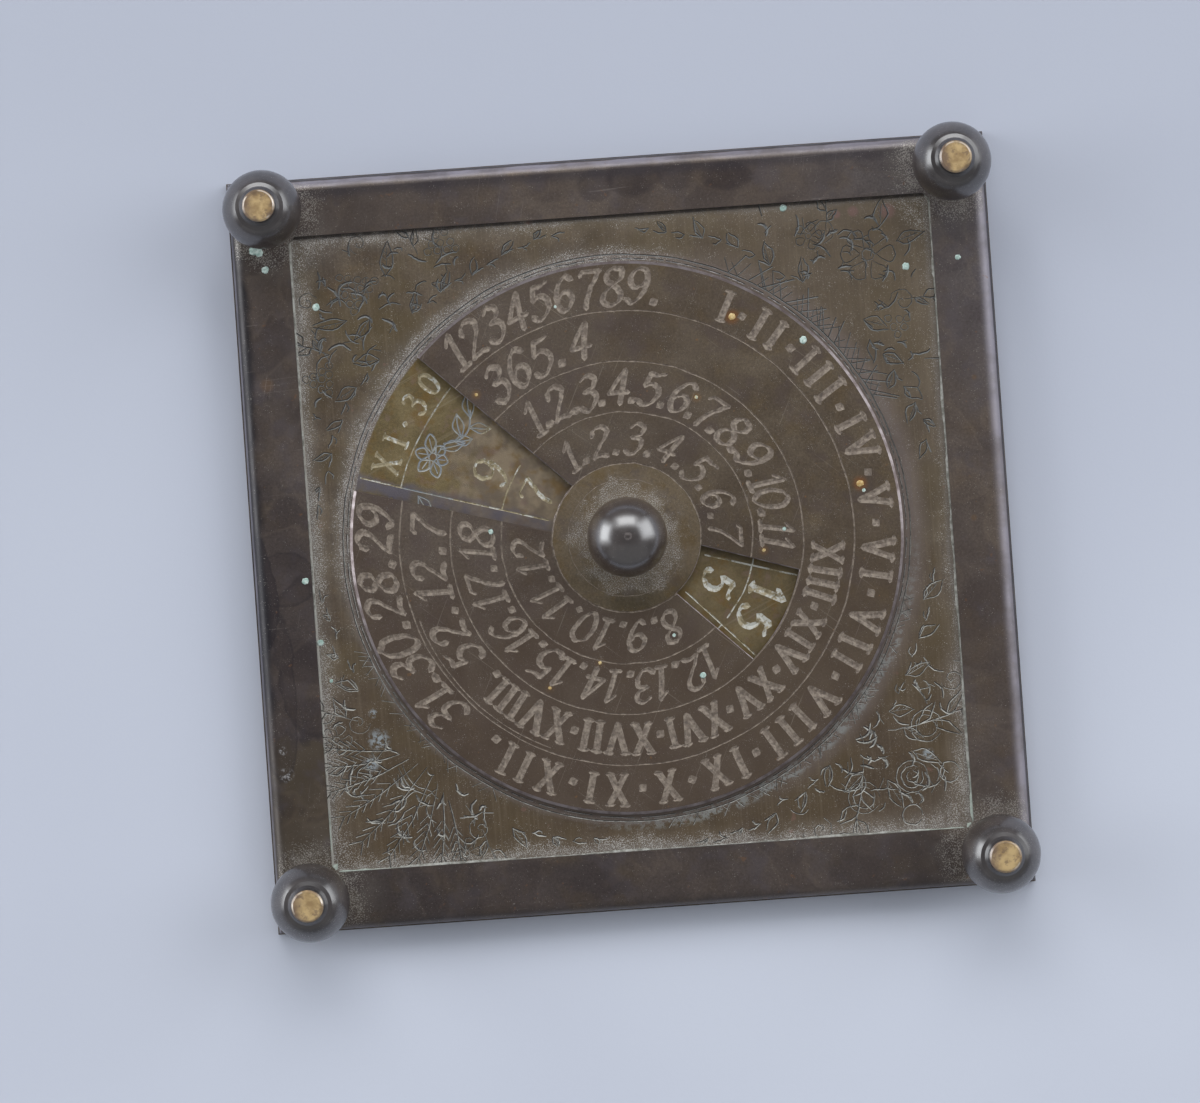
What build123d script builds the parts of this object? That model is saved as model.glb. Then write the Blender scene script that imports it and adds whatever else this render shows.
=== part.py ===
"""Perpetual desk calendar: a square brass plate with one turning disc, a ball knob and four corner balls.

Millimetres, +Z up. The plate lies flat on its back with the engraved face up; X runs to the right of the
face and Y to its top. The origin is the middle of the back face.
"""
from build123d import *
import os
from math import asin, cos, degrees, hypot, radians, sin, sqrt

# ---- Plate and frame ----
PLATE_WIDTH = 120.0          # back plate, along X
PLATE_HEIGHT = 119.0         # back plate, along Y
BACK_THICKNESS = 1.2
FRAME_SETBACK = 0.4          # frame outline inside the back plate's edge
BORDER_WIDTH = 9.1           # frame outline to the square opening
EDGE_RADIUS = 2.0            # rounded outer edge of the frame
CAVITY_HEIGHT = 2.4          # room under the dial plate for the pivot's washers and nut
GROOVE_DEPTH = 1.8           # how far the rails' groove reaches back behind the opening
LIP_THICKNESS = 0.7          # rail above the groove; the dial plate lies this far below the frame
OPENING_CORNER_CUT = 1.0     # small diagonal across each corner of the opening

# ---- Dial plate ----
DIAL_THICKNESS = 1.4
GROOVE_SIDE_CLEARANCE = 0.1  # dial plate to the groove's bottom, each side
GROOVE_TOP_CLEARANCE = 0.05  # dial plate to the lip above it

# ---- Turning disc ----
PIVOT_X = -0.7               # the pivot sits a little left of the plate's middle
PIVOT_Y = -0.8               # and a little below it
DISC_DIAMETER = 86.9
DISC_THICKNESS = 1.0
DISC_BEVEL_WIDTH = 0.45
DISC_BEVEL_HEIGHT = 0.35

# Windows: each corner is (radius, angle from +X) about the pivot.
LARGE_WINDOW_INNER_RADIUS = 11.8
LARGE_WINDOW_INNER_ANGLES = (132.8, 171.6)
LARGE_WINDOW_RIM_ANGLES = (135.3, 166.2)
LARGE_WINDOW_OVERRUN = 1.2   # the cut goes on past the rim, as a multiple of its length
SMALL_WINDOW_INNER_RADIUS = 11.7
SMALL_WINDOW_OUTER_RADIUS = 27.5
SMALL_WINDOW_INNER_ANGLES = (-52.2, -10.1)
SMALL_WINDOW_OUTER_ANGLES = (-47.8, -14.6)

# ---- Pivot ----
SQUARE_SIZE = 5.0            # spindle's square, which turns the disc
SQUARE_CLEARANCE = 0.03      # spindle square to disc, each side
JOURNAL_DIAMETER = 4.5       # round part that turns in the dial plate
JOURNAL_CLEARANCE = 0.06     # radial
THREAD_DIAMETER = 3.0
THREAD_CLEARANCE = 0.04      # radial, nut and washer on the thread
AXIAL_PLAY = 0.05            # dial plate to the washers above and below it
DISC_WASHER_THICKNESS = 0.3
DISC_WASHER_DIAMETER = 13.0
SPRING_WASHER_DIAMETER = 9.5
SPRING_WASHER_STOCK = 0.25
SPRING_WASHER_HEIGHT = 0.5
PIVOT_WASHER_DIAMETER = 8.0
PIVOT_WASHER_THICKNESS = 0.4
NUT_ACROSS_FLATS = 5.5
NUT_THICKNESS = 1.2
THREAD_SHORT_OF_NUT = 0.1    # the thread ends inside the nut by this much

# ---- Knob ----
KNOB_BALL_DIAMETER = 12.5
KNOB_FOOT_DIAMETER = 8.6
KNOB_FOOT_HEIGHT = 0.4
KNOB_NECK_DIAMETER = 6.0
KNOB_NECK_HEIGHT = 0.3

# ---- Corner balls and their screws ----
CORNER_INSET_X = 6.3         # ball's axis from the back plate's edge, along X
CORNER_INSET_Y = 5.6         # and along Y
CORNER_BALL_DIAMETER = 12.25
CORNER_FOOT_DIAMETER = 7.8
CORNER_FOOT_HEIGHT = 0.6
CORNER_NECK_DIAMETER = 5.6
CORNER_NECK_HEIGHT = 0.8
SWEEP_DIAMETER = 7.4         # where the ball's top begins to sweep up into the boss
SWEEP_HEIGHT = 1.25
SWEEP_STEPS = 3              # turned facets of the sweep
TIP_RIM_DIAMETER = 5.0       # boss, below the chamfer
TIP_FLAT_DIAMETER = 4.4      # worn flat end
TIP_HEIGHT = 1.65            # above the start of the sweep
TIP_CHAMFER_HEIGHT = 0.25
SCREW_DIAMETER = 3.0
SCREW_CLEARANCE = 0.1        # radial, in back plate and rails
SCREW_THREAD_CLEARANCE = 0.03
SCREW_HEAD_DIAMETER = 5.2
SCREW_HEAD_CLEARANCE = 0.05
SCREW_REACH = 5.0            # length of thread inside the ball
SCREW_HOLE_SPARE = 0.6       # blind hole beyond the screw's end
SLOT_WIDTH = 0.8
SLOT_DEPTH = 0.5

# ---- Levels ----
BACK_TOP = BACK_THICKNESS
DIAL_BOTTOM = BACK_TOP + CAVITY_HEIGHT
DIAL_TOP = DIAL_BOTTOM + DIAL_THICKNESS
LIP_BOTTOM = DIAL_TOP + GROOVE_TOP_CLEARANCE
FRAME_TOP = LIP_BOTTOM + LIP_THICKNESS
DISC_BOTTOM = DIAL_TOP + AXIAL_PLAY + DISC_WASHER_THICKNESS
DISC_TOP = DISC_BOTTOM + DISC_THICKNESS
SHOULDER = DIAL_BOTTOM - AXIAL_PLAY - SPRING_WASHER_HEIGHT
NUT_TOP = SHOULDER - PIVOT_WASHER_THICKNESS
NUT_BOTTOM = NUT_TOP - NUT_THICKNESS

FRAME_WIDTH = PLATE_WIDTH - 2 * FRAME_SETBACK
FRAME_HEIGHT = PLATE_HEIGHT - 2 * FRAME_SETBACK
CORNER_X = PLATE_WIDTH / 2 - CORNER_INSET_X
CORNER_Y = PLATE_HEIGHT / 2 - CORNER_INSET_Y
CORNERS = {
    "top_left": (-CORNER_X, CORNER_Y),
    "top_right": (CORNER_X, CORNER_Y),
    "bottom_left": (-CORNER_X, -CORNER_Y),
    "bottom_right": (CORNER_X, -CORNER_Y),
}


def polar(radius, angle):
    """Point at a radius and an angle in degrees."""
    return radius * cos(radians(angle)), radius * sin(radians(angle))


def upright_cylinder(x, y, radius, bottom, top):
    """Vertical cylinder between two levels."""
    return Pos(x, y, bottom) * extrude(Circle(radius), top - bottom)


def turned(points):
    """Solid of revolution about Z from a closed outline of (radius, height) points."""
    outline = make_face(Polyline(*[(r, 0, z) for r, z in points], close=True))
    return revolve(outline, Axis.Z)


def ring(x, y, inner_radius, outer_radius, bottom, top):
    """Flat washer between two levels."""
    blank = upright_cylinder(x, y, outer_radius, bottom, top)
    return blank - upright_cylinder(x, y, inner_radius, bottom, top)


# ---- Back plate ----
def screw_head_depth():
    """Height of the 90 degree countersunk head."""
    return (SCREW_HEAD_DIAMETER - SCREW_DIAMETER) / 2


def countersunk_cone(x, y, clearance):
    """Cone of a countersunk head whose flat side lies on the back face."""
    cone = Cone(
        SCREW_HEAD_DIAMETER / 2 + clearance,
        SCREW_DIAMETER / 2 + clearance,
        screw_head_depth(),
        align=(Align.CENTER, Align.CENTER, Align.MIN),
    )
    return Pos(x, y, 0) * cone


def screw_hole(x, y, bottom, top):
    """Clearance hole for a corner screw."""
    return upright_cylinder(x, y, SCREW_DIAMETER / 2 + SCREW_CLEARANCE, bottom, top)


def back_plate():
    plate = extrude(Rectangle(PLATE_WIDTH, PLATE_HEIGHT), BACK_THICKNESS)
    for x, y in CORNERS.values():
        plate -= screw_hole(x, y, 0, BACK_TOP)
        plate -= countersunk_cone(x, y, SCREW_HEAD_CLEARANCE)
    return plate


# ---- Frame rails ----
def rail_profile():
    """Section of a rail: X is the distance in from the frame's outline, Y the height."""
    rounded_start = FRAME_TOP - EDGE_RADIUS
    groove_back = BORDER_WIDTH - GROOVE_DEPTH
    outer_wall = Line((0, BACK_TOP), (0, rounded_start))
    rounded_edge = RadiusArc((0, rounded_start), (EDGE_RADIUS, FRAME_TOP), EDGE_RADIUS)
    inner_side = Polyline(
        (EDGE_RADIUS, FRAME_TOP),
        (BORDER_WIDTH, FRAME_TOP),
        (BORDER_WIDTH, LIP_BOTTOM),
        (groove_back, LIP_BOTTOM),
        (groove_back, DIAL_BOTTOM),
        (BORDER_WIDTH, DIAL_BOTTOM),
        (BORDER_WIDTH, BACK_TOP),
        (0, BACK_TOP),
    )
    return make_face(outer_wall + rounded_edge + inner_side)


def corner_gusset(end, inner_edge, side):
    """Half of the small diagonal lip across a corner of the opening, up to the mitre."""
    half_cut = OPENING_CORNER_CUT / 2
    outline = Polyline(
        (side * end, inner_edge),
        (side * (end - OPENING_CORNER_CUT), inner_edge),
        (side * (end - half_cut), inner_edge - half_cut),
        close=True,
    )
    return Pos(0, 0, LIP_BOTTOM) * extrude(make_face(outline), LIP_THICKNESS, dir=(0, 0, 1))


def rail(length, half_span, turn):
    """Rail with mitred ends. length runs along the frame's side and half_span from the middle to it."""
    profile_plane = Plane(origin=(length / 2, half_span, 0), x_dir=(0, -1, 0), z_dir=(-1, 0, 0))
    bar = extrude(profile_plane * rail_profile(), length)
    inner_length = length / 2 - BORDER_WIDTH
    inner_edge = half_span - BORDER_WIDTH
    footprint = make_face(
        Polyline(
            (-length / 2, half_span),
            (length / 2, half_span),
            (inner_length, inner_edge),
            (-inner_length, inner_edge),
            close=True,
        )
    )
    mitred = bar & extrude(footprint, FRAME_TOP, dir=(0, 0, 1))
    for side in (-1, 1):
        mitred += corner_gusset(inner_length, inner_edge, side)
    placed = Rot(0, 0, turn) * mitred
    for x, y in CORNERS.values():
        placed -= screw_hole(x, y, BACK_TOP, FRAME_TOP)
    return placed


def frame_rails():
    return {
        "frame_rail_top": rail(FRAME_WIDTH, FRAME_HEIGHT / 2, 0),
        "frame_rail_left": rail(FRAME_HEIGHT, FRAME_WIDTH / 2, 90),
        "frame_rail_bottom": rail(FRAME_WIDTH, FRAME_HEIGHT / 2, 180),
        "frame_rail_right": rail(FRAME_HEIGHT, FRAME_WIDTH / 2, 270),
    }


# ---- Dial plate ----
def dial_plate():
    reach = GROOVE_DEPTH - GROOVE_SIDE_CLEARANCE - BORDER_WIDTH
    plate = extrude(Rectangle(FRAME_WIDTH + 2 * reach, FRAME_HEIGHT + 2 * reach), DIAL_THICKNESS)
    bore = upright_cylinder(
        PIVOT_X, PIVOT_Y, JOURNAL_DIAMETER / 2 + JOURNAL_CLEARANCE, DIAL_BOTTOM, DIAL_TOP
    )
    return Pos(0, 0, DIAL_BOTTOM) * plate - bore


# ---- Turning disc ----
def window(inner_radius, inner_angles, outer_radius, outer_angles):
    """Face of a window with straight sides and arcs round the pivot at both ends."""
    inner_start = polar(inner_radius, inner_angles[0])
    inner_end = polar(inner_radius, inner_angles[1])
    outer_start = polar(outer_radius, outer_angles[0])
    outer_end = polar(outer_radius, outer_angles[1])
    inner_arc = ThreePointArc(inner_start, polar(inner_radius, sum(inner_angles) / 2), inner_end)
    outer_arc = ThreePointArc(outer_end, polar(outer_radius, sum(outer_angles) / 2), outer_start)
    sides = Line(inner_end, outer_end) + Line(outer_start, inner_start)
    return make_face(inner_arc + sides + outer_arc)


def large_window_cut():
    """The large window runs out through the rim, so its straight sides go on past the disc."""
    rim_radius = DISC_DIAMETER / 2
    outer_points = []
    for inner_angle, rim_angle in zip(LARGE_WINDOW_INNER_ANGLES, LARGE_WINDOW_RIM_ANGLES):
        inner = polar(LARGE_WINDOW_INNER_RADIUS, inner_angle)
        rim = polar(rim_radius, rim_angle)
        outer_points.append(tuple(a + LARGE_WINDOW_OVERRUN * (b - a) for a, b in zip(inner, rim)))
    inner_start = polar(LARGE_WINDOW_INNER_RADIUS, LARGE_WINDOW_INNER_ANGLES[0])
    inner_middle = polar(LARGE_WINDOW_INNER_RADIUS, sum(LARGE_WINDOW_INNER_ANGLES) / 2)
    inner_end = polar(LARGE_WINDOW_INNER_RADIUS, LARGE_WINDOW_INNER_ANGLES[1])
    far_middle = polar(hypot(*outer_points[0]) * LARGE_WINDOW_OVERRUN, sum(LARGE_WINDOW_RIM_ANGLES) / 2)
    inner_arc = ThreePointArc(inner_start, inner_middle, inner_end)
    outside = Polyline(inner_end, outer_points[1], far_middle, outer_points[0], inner_start)
    return make_face(inner_arc + outside)


def calendar_disc():
    rim = DISC_DIAMETER / 2
    disc = turned(
        [
            (0, DISC_BOTTOM),
            (rim, DISC_BOTTOM),
            (rim, DISC_TOP - DISC_BEVEL_HEIGHT),
            (rim - DISC_BEVEL_WIDTH, DISC_TOP),
            (0, DISC_TOP),
        ]
    )
    small = window(
        SMALL_WINDOW_INNER_RADIUS,
        SMALL_WINDOW_INNER_ANGLES,
        SMALL_WINDOW_OUTER_RADIUS,
        SMALL_WINDOW_OUTER_ANGLES,
    )
    square = Rectangle(SQUARE_SIZE + 2 * SQUARE_CLEARANCE, SQUARE_SIZE + 2 * SQUARE_CLEARANCE)
    for opening in (large_window_cut(), small, square):
        disc -= Pos(0, 0, DISC_BOTTOM) * extrude(opening, DISC_THICKNESS)
    return Pos(PIVOT_X, PIVOT_Y, 0) * disc


# ---- Pivot ----
def ball_arc(radius, centre_height, low_radius, high_radius):
    """Meridian of a ball from its neck up to its tip, as an arc in the XZ plane."""
    low = (low_radius, 0, centre_height - sqrt(radius**2 - low_radius**2))
    high = (high_radius, 0, centre_height + sqrt(radius**2 - high_radius**2))
    return ThreePointArc(low, (radius, 0, centre_height), high)


def knob_ball_centre():
    """Height of the middle of the knob's ball."""
    neck_top = DISC_TOP + KNOB_FOOT_HEIGHT + KNOB_NECK_HEIGHT
    return neck_top + sqrt((KNOB_BALL_DIAMETER / 2) ** 2 - (KNOB_NECK_DIAMETER / 2) ** 2)


def centre_knob():
    centre = knob_ball_centre()
    ball_radius = KNOB_BALL_DIAMETER / 2
    neck_radius = KNOB_NECK_DIAMETER / 2
    foot_radius = KNOB_FOOT_DIAMETER / 2
    neck_top = DISC_TOP + KNOB_FOOT_HEIGHT + KNOB_NECK_HEIGHT
    foot = Polyline(
        (0, 0, DISC_TOP),
        (foot_radius, 0, DISC_TOP),
        (foot_radius, 0, DISC_TOP + KNOB_FOOT_HEIGHT),
        (neck_radius, 0, DISC_TOP + KNOB_FOOT_HEIGHT),
        (neck_radius, 0, neck_top),
    )
    arc = ThreePointArc(
        (neck_radius, 0, neck_top), (ball_radius, 0, centre), (0, 0, centre + ball_radius)
    )
    axis_line = Line((0, 0, centre + ball_radius), (0, 0, DISC_TOP))
    knob = revolve(make_face(foot + arc + axis_line), Axis.Z)
    square = Pos(0, 0, DISC_BOTTOM) * extrude(Rectangle(SQUARE_SIZE, SQUARE_SIZE), DISC_THICKNESS)
    journal = upright_cylinder(0, 0, JOURNAL_DIAMETER / 2, SHOULDER, DISC_BOTTOM)
    thread_end = NUT_BOTTOM + THREAD_SHORT_OF_NUT
    thread = upright_cylinder(0, 0, THREAD_DIAMETER / 2, thread_end, SHOULDER)
    return Pos(PIVOT_X, PIVOT_Y, 0) * (knob + square + journal + thread)


def disc_washer():
    return ring(
        PIVOT_X,
        PIVOT_Y,
        JOURNAL_DIAMETER / 2 + JOURNAL_CLEARANCE,
        DISC_WASHER_DIAMETER / 2,
        DISC_BOTTOM - DISC_WASHER_THICKNESS,
        DISC_BOTTOM,
    )


def spring_washer():
    """Dished washer: its inner edge stands on the flat washer, its outer edge bears on the dial plate."""
    inner = JOURNAL_DIAMETER / 2 + JOURNAL_CLEARANCE
    outer = SPRING_WASHER_DIAMETER / 2
    rise = SPRING_WASHER_HEIGHT - SPRING_WASHER_STOCK
    washer = turned(
        [
            (inner, SHOULDER),
            (outer, SHOULDER + rise),
            (outer, SHOULDER + SPRING_WASHER_HEIGHT),
            (inner, SHOULDER + SPRING_WASHER_STOCK),
        ]
    )
    return Pos(PIVOT_X, PIVOT_Y, 0) * washer


def pivot_washer():
    return ring(
        PIVOT_X,
        PIVOT_Y,
        THREAD_DIAMETER / 2 + THREAD_CLEARANCE,
        PIVOT_WASHER_DIAMETER / 2,
        NUT_TOP,
        SHOULDER,
    )


def pivot_nut():
    hexagon = RegularPolygon(NUT_ACROSS_FLATS / 2, 6, major_radius=False)
    bore = upright_cylinder(PIVOT_X, PIVOT_Y, THREAD_DIAMETER / 2 + THREAD_CLEARANCE, NUT_BOTTOM, NUT_TOP)
    return Pos(PIVOT_X, PIVOT_Y, NUT_BOTTOM) * extrude(hexagon, NUT_THICKNESS) - bore


# ---- Corner balls ----
def sweep_points(start, rim_radius):
    """Hollow curve from the ball's top up to the side of the boss, where it ends upright."""
    width = SWEEP_DIAMETER / 2 - rim_radius
    curve_radius = (width**2 + SWEEP_HEIGHT**2) / (2 * width)
    span = degrees(asin(SWEEP_HEIGHT / curve_radius))
    points = []
    for step in range(SWEEP_STEPS + 1):
        back, drop = polar(curve_radius, span * (1 - step / SWEEP_STEPS))
        points.append((rim_radius + curve_radius - back, 0, start + SWEEP_HEIGHT - drop))
    return points


def corner_ball(x, y):
    """Turned ball on a foot and neck, whose top sweeps up into a chamfered boss."""
    radius = CORNER_BALL_DIAMETER / 2
    neck_radius = CORNER_NECK_DIAMETER / 2
    foot_radius = CORNER_FOOT_DIAMETER / 2
    rim_radius = TIP_RIM_DIAMETER / 2
    foot_top = FRAME_TOP + CORNER_FOOT_HEIGHT
    neck_top = foot_top + CORNER_NECK_HEIGHT
    centre = neck_top + sqrt(radius**2 - neck_radius**2)
    sweep_start = centre + sqrt(radius**2 - (SWEEP_DIAMETER / 2) ** 2)
    tip_top = sweep_start + TIP_HEIGHT
    foot = Polyline(
        (0, 0, FRAME_TOP),
        (foot_radius, 0, FRAME_TOP),
        (foot_radius, 0, foot_top),
        (neck_radius, 0, foot_top),
        (neck_radius, 0, neck_top),
    )
    tip = Polyline(
        *sweep_points(sweep_start, rim_radius),
        (rim_radius, 0, tip_top - TIP_CHAMFER_HEIGHT),
        (TIP_FLAT_DIAMETER / 2, 0, tip_top),
        (0, 0, tip_top),
        (0, 0, FRAME_TOP),
    )
    outline = foot + ball_arc(radius, centre, neck_radius, SWEEP_DIAMETER / 2) + tip
    ball = Pos(x, y, 0) * revolve(make_face(outline), Axis.Z)
    hole_top = FRAME_TOP + SCREW_REACH + SCREW_HOLE_SPARE
    hole_radius = SCREW_DIAMETER / 2 + SCREW_THREAD_CLEARANCE
    return ball - upright_cylinder(x, y, hole_radius, FRAME_TOP, hole_top)


def corner_screw(x, y):
    """Slotted countersunk screw whose head lies flush with the back face."""
    shank = upright_cylinder(x, y, SCREW_DIAMETER / 2, 0, FRAME_TOP + SCREW_REACH)
    slot = Pos(x, y, 0) * extrude(Rectangle(SCREW_HEAD_DIAMETER, SLOT_WIDTH), SLOT_DEPTH)
    return shank + countersunk_cone(x, y, 0) - slot


# ---- Assembly ----
def all_nodes():
    nodes = {"back_plate": back_plate(), "dial_plate": dial_plate(), "calendar_disc": calendar_disc()}
    nodes.update(frame_rails())
    nodes["centre_knob"] = centre_knob()
    nodes["disc_washer"] = disc_washer()
    nodes["spring_washer"] = spring_washer()
    nodes["pivot_washer"] = pivot_washer()
    nodes["pivot_nut"] = pivot_nut()
    for corner, (x, y) in CORNERS.items():
        nodes["corner_ball_" + corner] = corner_ball(x, y)
    nodes["corner_screws"] = Compound(children=[corner_screw(x, y) for x, y in CORNERS.values()])
    return nodes


os.makedirs("parts", exist_ok=True)
for node_name, shape in all_nodes().items():
    export_step(shape, "parts/" + node_name + ".step")
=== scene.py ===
"""Visual model of a perpetual desk calendar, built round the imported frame.

Lengths are in mm until they reach Blender. Angles are in degrees, counter-clockwise from +X.
"""

import math
import random
from collections import namedtuple

import bpy
import numpy as np
from mathutils import Matrix, Vector
from mathutils.geometry import delaunay_2d_cdt


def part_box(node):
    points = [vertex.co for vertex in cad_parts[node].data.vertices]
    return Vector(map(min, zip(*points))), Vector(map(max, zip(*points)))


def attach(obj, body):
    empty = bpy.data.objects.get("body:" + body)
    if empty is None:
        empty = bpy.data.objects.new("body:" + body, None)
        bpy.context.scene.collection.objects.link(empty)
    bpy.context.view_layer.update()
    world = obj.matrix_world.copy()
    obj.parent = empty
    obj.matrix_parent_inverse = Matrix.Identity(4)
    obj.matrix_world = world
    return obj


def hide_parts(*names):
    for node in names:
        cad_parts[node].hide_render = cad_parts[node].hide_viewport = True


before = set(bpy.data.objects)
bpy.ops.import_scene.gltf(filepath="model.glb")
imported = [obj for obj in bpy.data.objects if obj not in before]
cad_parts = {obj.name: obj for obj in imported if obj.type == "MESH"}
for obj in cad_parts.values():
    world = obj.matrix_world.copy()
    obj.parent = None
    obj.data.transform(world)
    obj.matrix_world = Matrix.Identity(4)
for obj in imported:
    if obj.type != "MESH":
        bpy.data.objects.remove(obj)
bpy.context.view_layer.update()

MM = 0.001
PIVOT = np.array([-0.7, -0.8])
OPENING = (50.5, 50.0)  # half size of the opening in the frame
OPENING_CORNER_CUT = 1.0

dial_low, dial_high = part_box("dial_plate")
disc_low, disc_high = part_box("calendar_disc")
DIAL_BOTTOM, DIAL_TOP = dial_low.z / MM, dial_high.z / MM
DISC_BOTTOM, DISC_TOP = disc_low.z / MM, disc_high.z / MM
FRAME_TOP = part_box("frame_rail_left")[1].z / MM
FRAME_HALF = (-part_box("frame_rail_left")[0].x / MM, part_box("frame_rail_top")[1].y / MM)
ball_low, ball_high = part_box("corner_ball_top_right")
BALL_AXIS = ((ball_low.x + ball_high.x) / 2 / MM, (ball_low.y + ball_high.y) / 2 / MM)
BALL_TOP = ball_high.z / MM

DISC_RADIUS = 43.45
BEVEL_WIDTH, BEVEL_DROP = 0.45, 0.35
RIM_STEPS = 512
SQUARE_HOLE = 5.06
DIAL_BORE = 2.31
Window = namedtuple("Window", "inner inner_angles outer outer_angles")
LARGE_WINDOW = Window(11.8, (132.8, 171.6), DISC_RADIUS, (135.3, 166.2))
SMALL_WINDOW = Window(11.7, (-52.2, -10.1), 27.5, (-47.8, -14.6))
EDGE_BREAK = 0.14  # the filed edge round a window
HUB_RING = 11.7
DISC_RINGS = (HUB_RING, 19.75, 27.7, 35.7)  # the lines cut on the disc
DIAL_RINGS = (20.2, 28.1, 36.3)  # and under it
OUTER_RING = 44.6  # the line cut round the disc
BROKEN_RING = 43.98  # and the broken one just inside it

rng = random.Random(11)


# ---------------------------------------------------------------- small geometry helpers


def polar(radius, angle):
    """Point at an angle about the pivot."""
    a = math.radians(angle)
    return PIVOT + radius * np.array([math.cos(a), math.sin(a)])


def arc(radius, start, end, steps):
    return [polar(radius, start + (end - start) * k / steps) for k in range(steps + 1)]


def circle(centre, radius, start, end, count):
    """Points round a centre. The two angles are in radians."""
    return [centre + radius * np.array([math.cos(t), math.sin(t)]) for t in np.linspace(start, end, count)]


def turned(point, origin, angle):
    """A point given in the axes of a motif."""
    a = math.radians(angle)
    x, y = point
    across, up = x * math.cos(a) - y * math.sin(a), x * math.sin(a) + y * math.cos(a)
    return np.array([origin[0] + across, origin[1] + up])


def smooth_line(points, per_span=5):
    """Catmull-Rom curve through the points."""
    p = np.array(points, float)
    if len(p) < 3:
        return p
    p = np.vstack([2 * p[0] - p[1], p, 2 * p[-1] - p[-2]])
    out = []
    for k in range(1, len(p) - 2):
        a, b, c, d = p[k - 1 : k + 3]
        for j in range(per_span):
            t = j / per_span
            bend = (2 * a - 5 * b + 4 * c - d) * t * t + (3 * b - a - 3 * c + d) * t**3
            out.append(0.5 * (2 * b + (c - a) * t + bend))
    out.append(p[-2])
    return np.array(out)


def twice_area(a, b, c):
    """Twice the signed area of triangles whose corners are the rows of a, b and c."""
    first, second = b - a, c - a
    return first[..., 0] * second[..., 1] - first[..., 1] * second[..., 0]


def inside(points, polygon):
    """Which of the points lie inside the polygon."""
    x, y = points[:, 0], points[:, 1]
    result = np.zeros(len(points), bool)
    for (x0, y0), (x1, y1) in zip(np.roll(polygon, 1, 0), polygon):
        if y0 != y1:
            result ^= ((y0 > y) != (y1 > y)) & (x < (x1 - x0) * (y - y0) / (y1 - y0) + x0)
    return result


def in_metal(points, loops):
    """Which of the points lie inside the first loop and outside the others."""
    result = inside(points, loops[0])
    for hole in loops[1:]:
        result &= ~inside(points, hole)
    return result


def segment_distance(points, start, end):
    """Distance from each point to a segment, and how far along the segment the nearest place is."""
    along = end - start
    t = np.clip(((points - start) @ along) / max(along @ along, 1e-12), 0, 1)
    return np.linalg.norm(points - start - t[:, None] * along, axis=1), t


def new_object(name, verts, faces, materials, body, face_material=None, smooth=False):
    """Mesh object from vertices in mm, riding on a body."""
    mesh = bpy.data.meshes.new(name)
    mesh.from_pydata([tuple(float(c) * MM for c in v) for v in verts], [], faces)
    for m in materials:
        mesh.materials.append(m)
    if face_material is not None:
        mesh.polygons.foreach_set("material_index", face_material)
    mesh.polygons.foreach_set("use_smooth", [smooth] * len(mesh.polygons))
    mesh.update()
    obj = bpy.data.objects.new(name, mesh)
    bpy.context.scene.collection.objects.link(obj)
    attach(obj, body)
    return obj


# ---------------------------------------------------------------- engraving


class Engraving:
    """Grooves cut into the top of a flat plate, kept as centre lines with half widths."""

    def __init__(self):
        self.verts = []
        self.edges = []
        self.parts = []

    def chain(self, points, closed=False):
        first = len(self.verts)
        self.verts += [Vector((float(p[0]), float(p[1]))) for p in points]
        last = first + len(points) - 1
        self.edges += [(k, k + 1) for k in range(first, last)]
        if closed:
            self.edges.append((last, first))
        return first

    def cut(self, points, half, depth, closed=False):
        """One groove. half is its half width, one number or one per point."""
        p = np.array(points, float)
        half = np.broadcast_to(np.asarray(half, float), (len(p),)).copy()
        along = np.roll(p, -1, 0) - np.roll(p, 1, 0) if closed else np.gradient(p, axis=0)
        along /= np.linalg.norm(along, axis=1, keepdims=True) + 1e-12
        side = np.stack([-along[:, 1], along[:, 0]], 1) * half[:, None]
        self.chain(p, closed)
        left = self.chain(p + side, closed)
        right = self.chain(p - side, closed)
        if closed:
            p, half = np.vstack([p, p[:1]]), np.append(half, half[0])
        else:
            for end, out in ((0, -1), (len(p) - 1, 1)):
                tip = len(self.verts)
                cap = p[end] + out * along[end] * half[end]
                self.verts.append(Vector((float(cap[0]), float(cap[1]))))
                self.edges += [(left + end, tip), (tip, right + end)]
        for k in range(0, len(p) - 1, 10):
            self.parts.append((p[k : k + 11], half[k : k + 11], depth))

    def depth(self, points):
        """How deep the grooves are at each point."""
        result = np.zeros(len(points))
        for p, half, depth in self.parts:
            margin = half.max()
            low, high = p.min(0) - margin, p.max(0) + margin
            near = np.nonzero(((points >= low) & (points <= high)).all(1))[0]
            if not len(near):
                continue
            q = points[near]
            best = np.zeros(len(near))
            for k in range(len(p) - 1):
                d, t = segment_distance(q, p[k], p[k + 1])
                best = np.maximum(best, 1 - d / (half[k] + t * (half[k + 1] - half[k])))
            result[near] = np.maximum(result[near], best * depth)
        return result


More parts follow.
